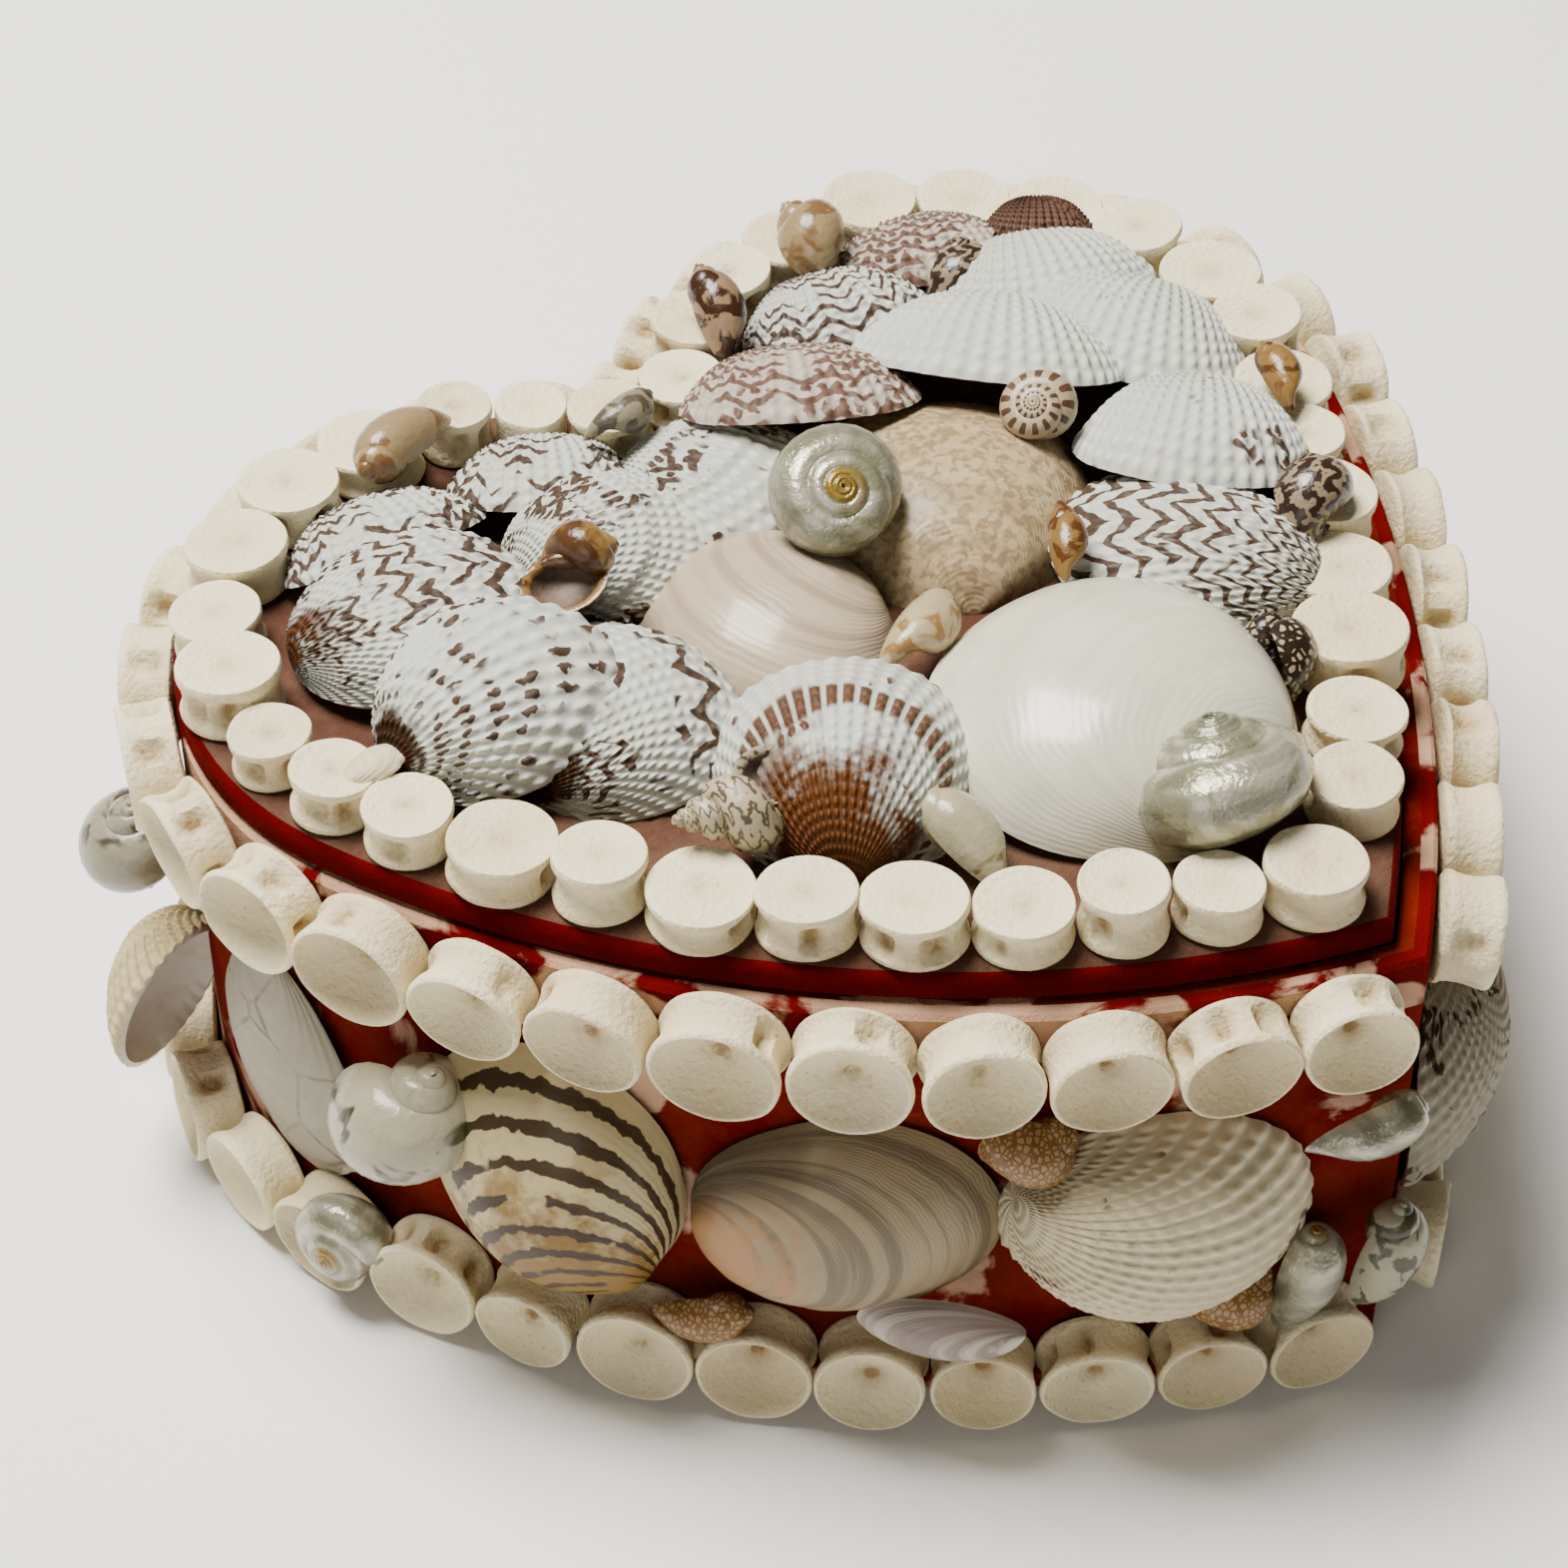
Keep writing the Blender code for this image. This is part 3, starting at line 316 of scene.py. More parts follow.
# Two small valves with no solid of their own, on the wall and on the lid: x, y and rise are as
# in the two tables above.
WALL_CHIP = Valve("wedge_valve", "smooth", "wedge", -41.5, 16.3, 5.5, 6.5, 15, 3, 172, 0, "purple_shell")
LID_CHIP = Valve("broken_chip", "flake", "chip", -51.8, 13.0, 58.7, 4, 6.5, 1.2, -10, 12, "pink_shell")

# How the shells sit and are cut: how far a shell stands off the wall, a snail's half depth as a
# share of its length, the angle past which an edge is sharp, and the first seed of each table.
WALL_SEAT = 0.4
SNAIL_SEAT = 0.3
SHELL_ANGLE = 60
LID_VALVE_SEED, WALL_VALVE_SEED, CHIP_SEED = 1, 31, 51
SNAIL_SEEDS = {"lid": 0, "wall": 20, "lid_extras": 40, "wall_extras": 60}
PLAIN_COLUMNS = 64
CURVE_STEPS = 40
CRACKED_JAG = 0.6
DOTS_ALONG = 60
TUBE_SIDES = 20
STEPS_PER_WHORL = 28

# A valve's uneven and chipped lip, and the hollow under it and the closing of a snail's mouth as
# the size and depth of each ring.
UNEVEN_LIP = 0.25
DEEPEST_CHIP = 1.6
HOLLOW_SHARE = 0.72
LIP_BELOW = 0.05
UNDERSIDE = ((1.0, 0.0), (0.90, 0.35), (0.70, 0.75), (0.40, 0.95))
MOUTH = ((0.86, 0.0), (0.78, 0.10), (0.55, 0.35))

# The stage: camera, and the place, size and share of the power of each light.
CAMERA_PLACE = (-0.18556, -0.20257, 0.29120)
CAMERA_AZIMUTH, CAMERA_ELEVATION = math.radians(-39.8), math.radians(43.2)
CAMERA_LENS, CAMERA_SENSOR, CAMERA_NEAR = 91.7, 36.0, 0.01
LIGHTS = {"overhead": ((-0.12, 0.30, 0.85), 0.42, 1.0), "front": ((-0.75, -0.55, 0.45), 0.5, 0.08)}
LIGHT_AIM = Vector((0, 0, 0.03))
SKY_STRENGTH = 0.10
FLOOR_SIZE = 4.0


# ---------------------------------------------------------------- settings a user would change

class SHELLBOX_PG_rows(bpy.types.PropertyGroup):
    """The rows of fish vertebrae."""
    pit_depth: FloatProperty(
        name="Pit depth", description="Depth of the pits in the side of a vertebra",
        default=1.0 * MM, min=0.0, unit="LENGTH")
    unevenness: FloatProperty(
        name="Unevenness", description="How far a vertebra strays from a round shape",
        default=0.10 * MM, min=0.0, unit="LENGTH")
    bone: FloatVectorProperty(
        name="Bone", description="Colour of clean bone", subtype="COLOR",
        default=(0.80, 0.71, 0.45), min=0.0, max=1.0)
    stain: FloatVectorProperty(
        name="Stain", description="Colour of the bone in its pits", subtype="COLOR",
        default=(0.27, 0.16, 0.05), min=0.0, max=1.0)


class SHELLBOX_PG_boards(bpy.types.PropertyGroup):
    """The velvet-covered boards and wall."""
    velvet: FloatVectorProperty(
        name="Velvet", description="Colour of the fresh velvet", subtype="COLOR",
        default=(0.14, 0.0, 0.0), min=0.0, max=1.0)
    worn: FloatVectorProperty(
        name="Worn velvet", description="Colour of the velvet on top of the lid", subtype="COLOR",
        default=(0.095, 0.042, 0.026), min=0.0, max=1.0)
    glue: FloatVectorProperty(
        name="Dried glue", description="Colour of the glue along the rim", subtype="COLOR",
        default=(0.55, 0.34, 0.22), min=0.0, max=1.0)


class SHELLBOX_PG_shells(bpy.types.PropertyGroup):
    """The valves and snails."""
    lip: FloatProperty(
        name="Lip", description="Thickness of a valve at its lip",
        default=0.5 * MM, min=0.1 * MM, unit="LENGTH")
    sculpture: FloatProperty(
        name="Sculpture", description="Strength of the ribs and beads, as a factor",
        default=1.0, min=0.0, max=2.0, subtype="FACTOR")


class SHELLBOX_PG_stage(bpy.types.PropertyGroup):
    """Floor and lights."""
    floor: FloatVectorProperty(
        name="Floor", description="Colour of the floor", subtype="COLOR",
        default=(0.90, 0.90, 0.90), min=0.0, max=1.0)
    light: FloatProperty(
        name="Light", description="Power of the large soft light overhead",
        default=24.0, min=0.0, unit="POWER")


# ---------------------------------------------------------------- heart outline

def side_circle(sign, join):
    """Centre and radius of the long arc on one side, tangent to its lobe and through the tip."""
    out = Vector((sign * math.cos(join), -math.sin(join)))
    start = Vector((sign * LOBE_X, LOBE_Y)) + LOBE_RADIUS * out
    reach = start - TIP
    radius = reach.dot(reach) / (2 * reach.dot(out))
    return start - radius * out, radius


def arc(centre, radius, start, stop, count):
    """Points from start towards stop along a circle, without the last one."""
    first = math.atan2(start.y - centre.y, start.x - centre.x)
    last = math.atan2(stop.y - centre.y, stop.x - centre.x)
    if last < first:
        last += 2 * math.pi
    angles = [first + (last - first) * i / count for i in range(count)]
    return [centre + radius * Vector((math.cos(a), math.sin(a))) for a in angles]


def heart(offset, shift):
    """The outline grown by an offset and shifted, counter-clockwise from the tip."""
    left, left_radius = side_circle(-1, JOIN_LEFT)
    right, right_radius = side_circle(1, JOIN_RIGHT)
    left_radius += offset
    right_radius += offset
    lobe_radius = LOBE_RADIUS + offset
    between = right - left
    distance = between.length
    along = (left_radius**2 - right_radius**2 + distance**2) / (2 * distance)
    rise = math.sqrt(left_radius**2 - along**2)
    tip = left + along * between.normalized() + rise * Vector((-between.y, between.x)).normalized()
    cleft_rise = max(math.sqrt(max(lobe_radius**2 - LOBE_X**2, 0.0)), CLEFT_RISE)
    cleft_half = LOBE_X - math.sqrt(max(lobe_radius**2 - cleft_rise**2, 0.0))
    right_cleft = Vector((cleft_half, LOBE_Y + cleft_rise))
    left_cleft = Vector((-cleft_half, LOBE_Y + cleft_rise))
    left_lobe = Vector((-LOBE_X, LOBE_Y))
    right_lobe = Vector((LOBE_X, LOBE_Y))
    right_join = right_lobe + lobe_radius * Vector((math.cos(JOIN_RIGHT), -math.sin(JOIN_RIGHT)))
    left_join = left_lobe + lobe_radius * Vector((-math.cos(JOIN_LEFT), -math.sin(JOIN_LEFT)))
    points = arc(right, right_radius, tip, right_join, SIDE_POINTS)
    points += arc(right_lobe, lobe_radius, right_join, right_cleft, LOBE_POINTS)
    points += arc(left_lobe, lobe_radius, left_cleft, left_join, LOBE_POINTS)
    points += arc(left, left_radius, left_join, tip, SIDE_POINTS)
    return [point + shift for point in points]


class Route:
    """Places measured along the heart outline at one offset, from the tip counter-clockwise."""

    def __init__(self, offset, shift=WALL_SHIFT):
        self.points = heart(offset, shift)
        self.points.append(self.points[0])
        self.reached = [0.0]
        for before, after in zip(self.points, self.points[1:]):
            self.reached.append(self.reached[-1] + (after - before).length)
        self.length = self.reached[-1]
        self.cleft = self.reached[SIDE_POINTS + LOBE_POINTS]

    def at(self, distance):
        """Point and outward direction at a distance."""
        distance %= self.length
        index = next(i for i, reached in enumerate(self.reached) if reached >= distance and i)
        before, after = self.points[index - 1], self.points[index]
        share = (distance - self.reached[index - 1]) / (after - before).length
        run = (after - before).normalized()
        return before.lerp(after, share), Vector((run.y, -run.x))

    def nearest(self, point):
        """Distance along the outline of the place nearest to a point."""
        gaps = [(corner - point).length for corner in self.points]
        index = gaps.index(min(gaps))
        low = self.reached[max(index - 1, 0)]
        high = self.reached[min(index + 1, len(self.reached) - 1)]
        tries = [low + (high - low) * i / NEAREST_TRIES for i in range(NEAREST_TRIES + 1)]
        return min(tries, key=lambda distance: (self.at(distance)[0] - point).length)


# ---------------------------------------------------------------- pieces

def smooth_step(low, high, value):
    """0 below low, 1 above high, and an eased share between."""
    share = min(max((value - low) / (high - low), 0.0), 1.0)
    return share * share * (3 - 2 * share)


def node_middle(node):
    """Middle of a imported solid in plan, and its lowest and highest level, in millimetres."""
    low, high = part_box(node)
    return (low + high).to_2d() / 2 / MM, low.z / MM, high.z / MM


def add_object(name, bm, materials):
    """An object from a bmesh, which is freed, in the scene's own collection."""
    mesh = bpy.data.meshes.new(name)
    bm.to_mesh(mesh)
    bm.free()
    for material in materials:
        mesh.materials.append(material)
    obj = bpy.data.objects.new(name, mesh)
    bpy.context.scene.collection.objects.link(obj)
    return obj


def add_piece(name, bm, materials, replaced=(), angle=40):
    """A finished piece in metres from a bmesh in millimetres, riding on the box."""
    bmesh.ops.transform(bm, matrix=Matrix.Scale(MM, 4), verts=bm.verts)
    obj = add_object(name, bm, materials)
    obj.data.shade_smooth()
    obj.data.set_sharp_from_angle(angle=math.radians(angle))
    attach(obj, "root")
    if replaced:
        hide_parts(*replaced)


def next_ring(bm, edges):
    """Extrude a ring of edges into a new one: its vertices and its edges."""
    new = bmesh.ops.extrude_edge_only(bm, edges=edges)["geom"]
    ring = [item for item in new if isinstance(item, bmesh.types.BMVert)]
    fresh = set(ring)
    edges = [item for item in new if isinstance(item, bmesh.types.BMEdge)
             and all(vertex in fresh for vertex in item.verts)]
    return ring, edges


def new_grid(columns, rows, across):
    """A flat grid from -1 to 1 with its growth map, whose first number across gives from x."""
    bm = bmesh.new()
    bmesh.ops.create_grid(bm, x_segments=columns, y_segments=rows, size=1.0)
    growth = bm.loops.layers.uv.new("growth")
    for face in bm.faces:
        for loop in face.loops:
            loop[growth].uv = (across(loop.vert.co.x), (loop.vert.co.y + 1) / 2)
    return bm


def put_in_place(bm, pose, top=None):
    """Pose a bmesh, and bring its highest point to a level where one is given."""
    bmesh.ops.transform(bm, matrix=pose, verts=bm.verts)
    if top is not None:
        rise = top - max(vertex.co.z for vertex in bm.verts)
        bmesh.ops.translate(bm, verts=bm.verts, vec=(0, 0, rise))


def loft(sections, shift=WALL_SHIFT, hollow=False):
    """A solid through heart outlines of given (offset, height): with flat caps, or a hollow ring."""
    bm = bmesh.new()
    order = bm.verts.layers.int.new("order")
    section = bm.verts.layers.int.new("section")
    count = 2 * (SIDE_POINTS + LOBE_POINTS)
    ring = bmesh.ops.create_circle(bm, cap_ends=False, segments=count, radius=1.0)["verts"]
    for vertex in ring:
        turn = math.atan2(vertex.co.y, vertex.co.x) / (2 * math.pi)
        vertex[order] = math.floor(turn * count + 0.25) % count
    first_edges = list(bm.edges)
    edges = first_edges
    for number, (offset, height) in enumerate(sections):
        if number:
            ring, edges = next_ring(bm, edges)
        outline = heart(offset, shift)
        for vertex in ring:
            vertex.co = (*outline[vertex[order]], height)
            vertex[section] = number
    if hollow:
        bmesh.ops.bridge_loops(bm, edges=first_edges + edges)
    else:
        bmesh.ops.contextual_create(bm, geom=first_edges)
        bmesh.ops.contextual_create(bm, geom=edges)
    bmesh.ops.recalc_face_normals(bm, faces=bm.faces)
    return bm


# ---------------------------------------------------------------- materials

class Nodes:
    """Short ways to add nodes to one tree and join them."""

    def __init__(self, tree):
        self.tree = tree

    def add(self, kind, values=None, **settings):
        """A node with its settings and its inputs, given by name or number."""
        node = self.tree.nodes.new(kind)
        for key, value in settings.items():
            setattr(node, key, value)
        for key, value in (values or {}).items():
            self.put(node.inputs[key], value)
        return node

    def put(self, socket, value):
        """Join an output to a socket, or set the socket's own value."""
        if isinstance(value, bpy.types.NodeSocket):
            self.tree.links.new(value, socket)
        else:
            socket.default_value = value

    def math(self, operation, *values):
        """A Math node."""
        return self.add("ShaderNodeMath", dict(enumerate(values)), operation=operation).outputs[0]

    def times(self, value, *factors):
        """A value multiplied by each factor in turn."""
        for factor in factors:
            value = self.math("MULTIPLY", value, factor)
        return value

    def plus(self, value, *others):
        """A value with each of the others added in turn."""
        for other in others:
            value = self.math("ADD", value, other)
        return value

    def away(self, value, middle):
        """How far a value is from a middle, on either side."""
        return self.math("ABSOLUTE", self.math("SUBTRACT", value, middle))

    def mix(self, share, first, second):
        """A colour mix."""
        first, second = [(*colour, 1.0) if isinstance(colour, tuple) else colour
                         for colour in (first, second)]
        node = self.add("ShaderNodeMix", {0: share, 6: first, 7: second}, data_type="RGBA")
        return node.outputs[2]

    def step(self, value, low, high):
        """An eased step of a value: 0 at low and 1 at high, which may be the lower of the two."""
        node = self.add("ShaderNodeMapRange", {0: value, 1: low, 2: high},
                        interpolation_type="SMOOTHSTEP")
        return node.outputs[0]

    def noise(self, vector, scale, detail=3.0, distortion=0.0):
        """Noise between about 0.3 and 0.7."""
        node = self.add("ShaderNodeTexNoise", {"Vector": vector, "Scale": scale, "Detail": detail,
                                               "Distortion": distortion})
        return node.outputs[0]

    def cells(self, vector, scale):
        """Distance to the nearest border between cells."""
        node = self.add("ShaderNodeTexVoronoi", {"Vector": vector, "Scale": scale},
                        feature="DISTANCE_TO_EDGE")
        return node.outputs[0]

    def split(self, vector):
        """The first two numbers of a vector."""
        return self.add("ShaderNodeSeparateXYZ", {0: vector}).outputs[:2]

    def shifted(self, vector, shift):
        """A vector with another added."""
        return self.add("ShaderNodeVectorMath", {0: vector, 1: shift}, operation="ADD").outputs[0]

    def group(self, name, **values):
        """The outputs of a shared group, which is made the first time that it is asked for."""
        tree = bpy.data.node_groups.get(name) or SHARED_GROUPS[name]()
        node = self.add("ShaderNodeGroup", node_tree=tree)
        for key, value in values.items():
            self.put(node.inputs[key], value)
        return node.outputs

    def finish(self, colour, height=None, depth=0.0):
        """Give the shader its colour, and fine relief of some depth where there is a height."""
        shader = self.tree.nodes["Principled BSDF"].inputs
        self.put(shader["Base Color"], colour)
        if height is not None:
            bump = self.add("ShaderNodeBump", {"Height": height, "Distance": depth, "Strength": 1.0})
            self.put(shader["Normal"], bump.outputs[0])


def new_group(name, vectors, floats, outputs):
    """An empty shader group with its sockets, its maker and its input and output sockets."""
    tree = bpy.data.node_groups.new(name, "ShaderNodeTree")
    for way, kind, names in (("INPUT", "NodeSocketVector", vectors),
                             ("INPUT", "NodeSocketFloat", floats),
                             ("OUTPUT", "NodeSocketFloat", outputs)):
        for socket in names:
            tree.interface.new_socket(socket, in_out=way, socket_type=kind)
    nodes = Nodes(tree)
    given = nodes.add("NodeGroupInput").outputs
    return tree, nodes, given, nodes.add("NodeGroupOutput").inputs


def mottle_group():
    """Uneven tone over a surface at two scales, and small pits."""
    tree, nodes, given, out = new_group(
        "uneven_tone", ("Point",), ("Scale",), ("Tone", "Fleck", "Height"))
    broad = nodes.noise(given["Point"], given["Scale"], 4.0)
    small = nodes.noise(given["Point"], nodes.times(given["Scale"], 6.0), 3.0)
    tone = nodes.plus(nodes.times(broad, 0.7), nodes.times(small, 0.3))
    nodes.put(out["Tone"], nodes.step(tone, 0.36, 0.64))
    flecks = nodes.noise(given["Point"], nodes.times(given["Scale"], 9.0), 1.0)
    nodes.put(out["Fleck"], nodes.step(flecks, 0.70, 0.76))
    nodes.put(out["Height"], nodes.plus(small, nodes.times(flecks, -0.4)))
    return tree


def relief_group():
    """Fine beads and growth lines that follow a valve from its umbo to its lip, and a mask of the
    grooves between the beads for painted shade.
    """
    tree, nodes, given, out = new_group(
        "valve_relief", ("Place", "Point"), ("Ribs", "Rings", "Lines"), ("Height", "Groove shade"))
    turn, growth = nodes.split(given["Place"])
    growth = nodes.plus(growth, nodes.times(nodes.noise(given["Point"], 260.0, 2.0), 0.05))
    rib = nodes.math("COSINE", nodes.times(turn, given["Ribs"], math.pi))
    ring = nodes.math("COSINE", nodes.times(growth, given["Rings"], 2 * math.pi))
    line = nodes.math("SINE", nodes.times(growth, given["Lines"], 2 * math.pi))
    bead = nodes.times(nodes.plus(rib, 1.0), nodes.plus(ring, 1.2))
    nodes.put(out["Height"], nodes.plus(nodes.times(bead, 0.25), nodes.times(line, 0.15)))
    nodes.put(out["Groove shade"], nodes.step(bead, 1.3, 0.0))
    return tree


def marks_group():
    """Zigzag lines, spots on the beads, growth bands and one belt, broken up in patches."""
    tree, nodes, given, out = new_group(
        "valve_marks", ("Place", "Point"),
        ("Ribs", "Rows", "Wave", "Zigzag", "Spots", "Bands", "Ring", "Seed"), ("Marks", "Bands"))
    turn, growth = nodes.split(given["Place"])
    moved = nodes.add("ShaderNodeCombineXYZ", {axis: given["Seed"] for axis in range(3)})
    point = nodes.shifted(given["Point"], moved.outputs[0])
    patch = nodes.noise(point, 170.0, 2.0)
    ragged = nodes.noise(point, 700.0, 2.0)

    def in_patches(mask, share, low, high):
        """A mask only in patches that cover more as the share grows, and nowhere where it is 0."""
        allowed = nodes.step(nodes.plus(patch, nodes.times(share, 0.40)), low, high)
        return nodes.times(mask, allowed, nodes.step(share, 0.0, 0.02))

    wave = nodes.math("PINGPONG", nodes.times(turn, nodes.times(given["Ribs"], 0.15)), 0.5)
    level = nodes.plus(nodes.times(growth, given["Rows"]), nodes.times(wave, given["Wave"]),
                       nodes.times(ragged, 0.45))
    line = nodes.away(nodes.math("FRACT", level), 0.5)
    thick = nodes.plus(nodes.times(patch, 0.30), nodes.times(nodes.math("POWER", wave, 3.0), 0.6))
    zigzag = nodes.step(line, nodes.plus(thick, 0.03), nodes.math("SUBTRACT", thick, 0.02))
    zigzag = in_patches(zigzag, given["Zigzag"], 0.62, 0.66)
    rib = nodes.math("COSINE", nodes.times(turn, given["Ribs"], math.pi))
    ring = nodes.math("COSINE", nodes.times(
        nodes.plus(nodes.times(growth, given["Rows"]), ragged), 2 * math.pi))
    spot = nodes.step(nodes.plus(nodes.times(rib, 0.6), ring), 0.45, 0.80)
    spot = in_patches(spot, given["Spots"], 0.68, 0.74)
    belt = nodes.away(nodes.plus(growth, nodes.times(patch, 0.12)), nodes.plus(given["Ring"], 0.06))
    belt = nodes.times(nodes.step(belt, 0.06, 0.035), nodes.step(rib, -0.9, -0.2),
                       nodes.step(given["Ring"], 0.0, 0.1))
    nodes.put(out["Marks"], nodes.math("MAXIMUM", nodes.math("MAXIMUM", zigzag, spot), belt))
    along = nodes.add("ShaderNodeCombineXYZ", {0: nodes.times(turn, 0.03), 1: growth,
                                               2: given["Seed"]})
    band = nodes.noise(along.outputs[0], nodes.times(given["Rows"], 1.3), 5.0)
    nodes.put(out["Bands"], nodes.times(nodes.step(band, 0.44, 0.60), given["Bands"]))
    return tree


SHARED_GROUPS = {"uneven_tone": mottle_group, "valve_relief": relief_group, "valve_marks": marks_group}


def new_material(name, roughness, specular=0.5, **settings):
    """A material with its node maker and its object coordinates."""
    material = bpy.data.materials.new(name)
    material.use_nodes = True
    nodes = Nodes(material.node_tree)
    shader = material.node_tree.nodes["Principled BSDF"].inputs
    shader["Roughness"].default_value = roughness
    shader["Specular IOR Level"].default_value = specular
    for key, value in settings.items():
        shader[key.replace("_", " ").title()].default_value = value
    return material, nodes, nodes.add("ShaderNodeTexCoord").outputs["Object"]


def scaled(colour, factor, most=1.0):
    """A colour made paler or darker, each channel kept under a limit."""
    return tuple(min(channel * factor, most) for channel in colour)


def bone_material():
    """Chalky bone with ochre in its pits, each piece a little different in tone."""
    rows = bpy.context.scene.shell_box_rows
    material, nodes, point = new_material("chalky_bone", 0.7, 0.3)
    tone = nodes.group("uneven_tone", Point=point, Scale=260.0)
    stain, own = [nodes.add("ShaderNodeAttribute", attribute_name=name).outputs["Fac"]
                  for name in ("stain", "own_tone")]
    colour = nodes.mix(own, tuple(rows.bone), OLD_BONE)
    colour = nodes.mix(nodes.times(tone["Tone"], 0.35), colour, BONE_DUST)
    dirty = nodes.times(stain, nodes.plus(tone["Tone"], 0.35))
    colour = nodes.mix(nodes.math("MINIMUM", dirty, 0.9), colour, tuple(rows.stain))
    colour = nodes.mix(nodes.times(tone["Fleck"], 0.5), colour, BONE_FLECK)
    nodes.finish(colour, tone["Height"], 0.25 * MM)
    return material


def velvet_material(name, fresh, worn, wear, glue=0.0):
    """Short-pile velvet, mixed in patches with a second colour, and smeared with dried glue: the second
    colour is wear on the wall and the lid's top, and painted shade on the lid's edge.
    """
    boards = bpy.context.scene.shell_box_boards
    material, nodes, point = new_material(name, 0.9, 0.05)
    tone = nodes.group("uneven_tone", Point=point, Scale=140.0)
    pile = nodes.noise(point, 4200.0, 2.0)
    colour = nodes.mix(nodes.times(tone["Tone"], wear), tuple(fresh), worn)
    colour = nodes.mix(nodes.times(pile, 0.45), colour, PILE_SHADOW)
    if glue:
        smear = nodes.step(nodes.noise(point, 95.0, 6.0, 0.6), 0.60 - glue, 0.66 - glue)
        colour = nodes.mix(nodes.times(smear, 0.85), colour, tuple(boards.glue))
    nodes.finish(colour, nodes.plus(pile, nodes.times(tone["Height"], 0.5)), 0.15 * MM)
    return material


def valve_material(name, relief, look, seed):
    """The outside of one valve, coloured along its growth."""
    material, nodes, point = new_material(
        name, 0.55 - 0.30 * look.gloss, 0.12 + 0.2 * look.gloss, coat_weight=0.3 * look.gloss,
        coat_roughness=0.12)
    place = nodes.add("ShaderNodeUVMap", uv_map="growth").outputs[0]
    turn, growth = nodes.split(place)
    tone = nodes.group("uneven_tone", Point=point, Scale=160.0)
    fine = nodes.group("valve_relief", Place=place, Point=point, Ribs=float(relief.ribs),
                       Rings=float(relief.rings), Lines=0.0 if relief.ribs else relief.steps * 3.0)
    marks = nodes.group("valve_marks", Place=place, Point=point, Ribs=float(relief.ribs or 16),
                        Rows=float(look.rows), Wave=look.wave, Zigzag=look.zigzag,
                        Spots=look.spots, Bands=look.bands, Ring=look.ring, Seed=seed * 0.037)
    ground, heart_tint, mark = TINTS[look.ground], TINTS[look.heart], TINTS[look.marks]
    colour = nodes.mix(tone["Tone"], ground, scaled(ground, 1.08, 0.9))
    if relief.ribs:
        # Painted shade: the ground is darkened in the grooves between the ribs.
        colour = nodes.mix(nodes.times(fine["Groove shade"], 0.35), colour, scaled(ground, 0.55))
    colour = nodes.mix(marks["Bands"], colour, mark)
    if look.patch:
        reach = nodes.plus(growth, nodes.times(tone["Tone"], 0.25))
        patch = nodes.step(reach, look.patch + 0.22, look.patch - 0.05)
        if relief.ribs:
            # The umbo patch is paler on the bead tops and darker in the grooves: partly the shell's own
            # colour, partly painted shade.
            heart_tint = nodes.mix(fine["Groove shade"], scaled(heart_tint, 1.4, 0.5), heart_tint)
        colour = nodes.mix(patch, colour, heart_tint)
    stain = nodes.mix(tone["Tone"], mark, scaled(mark, 1.3, 0.5))
    colour = nodes.mix(nodes.times(marks["Marks"], 0.95), colour, stain)
    if look.mottle:
        grain = nodes.step(nodes.noise(point, 1100.0, 5.0, 0.5), 0.42, 0.62)
        colour = nodes.mix(nodes.times(grain, look.mottle), colour, mark)
    if relief.jag > CRACKED_JAG and not relief.ribs:
        crack = nodes.times(nodes.step(nodes.cells(point, 110.0), 0.035, 0.01), tone["Tone"])
        colour = nodes.mix(nodes.times(crack, 0.7), colour, mark)
    if look.shade:
        side = nodes.step(nodes.math("ABSOLUTE", turn), 0.30, 0.75)
        colour = nodes.mix(nodes.times(side, look.shade), colour, mark)
    height = nodes.plus(fine["Height"], nodes.times(tone["Height"], 0.25))
    nodes.finish(colour, height, 0.22 * MM if relief.ribs else 0.06 * MM)
    return material


def plain_material(name, roughness, scale, tints):
    """A surface of two tones: the inside of a valve, and the painted shade in a snail's mouth."""
    material, nodes, point = new_material(name, roughness)
    nodes.finish(nodes.mix(nodes.group("uneven_tone", Point=point, Scale=scale)["Tone"], *tints))
    return material


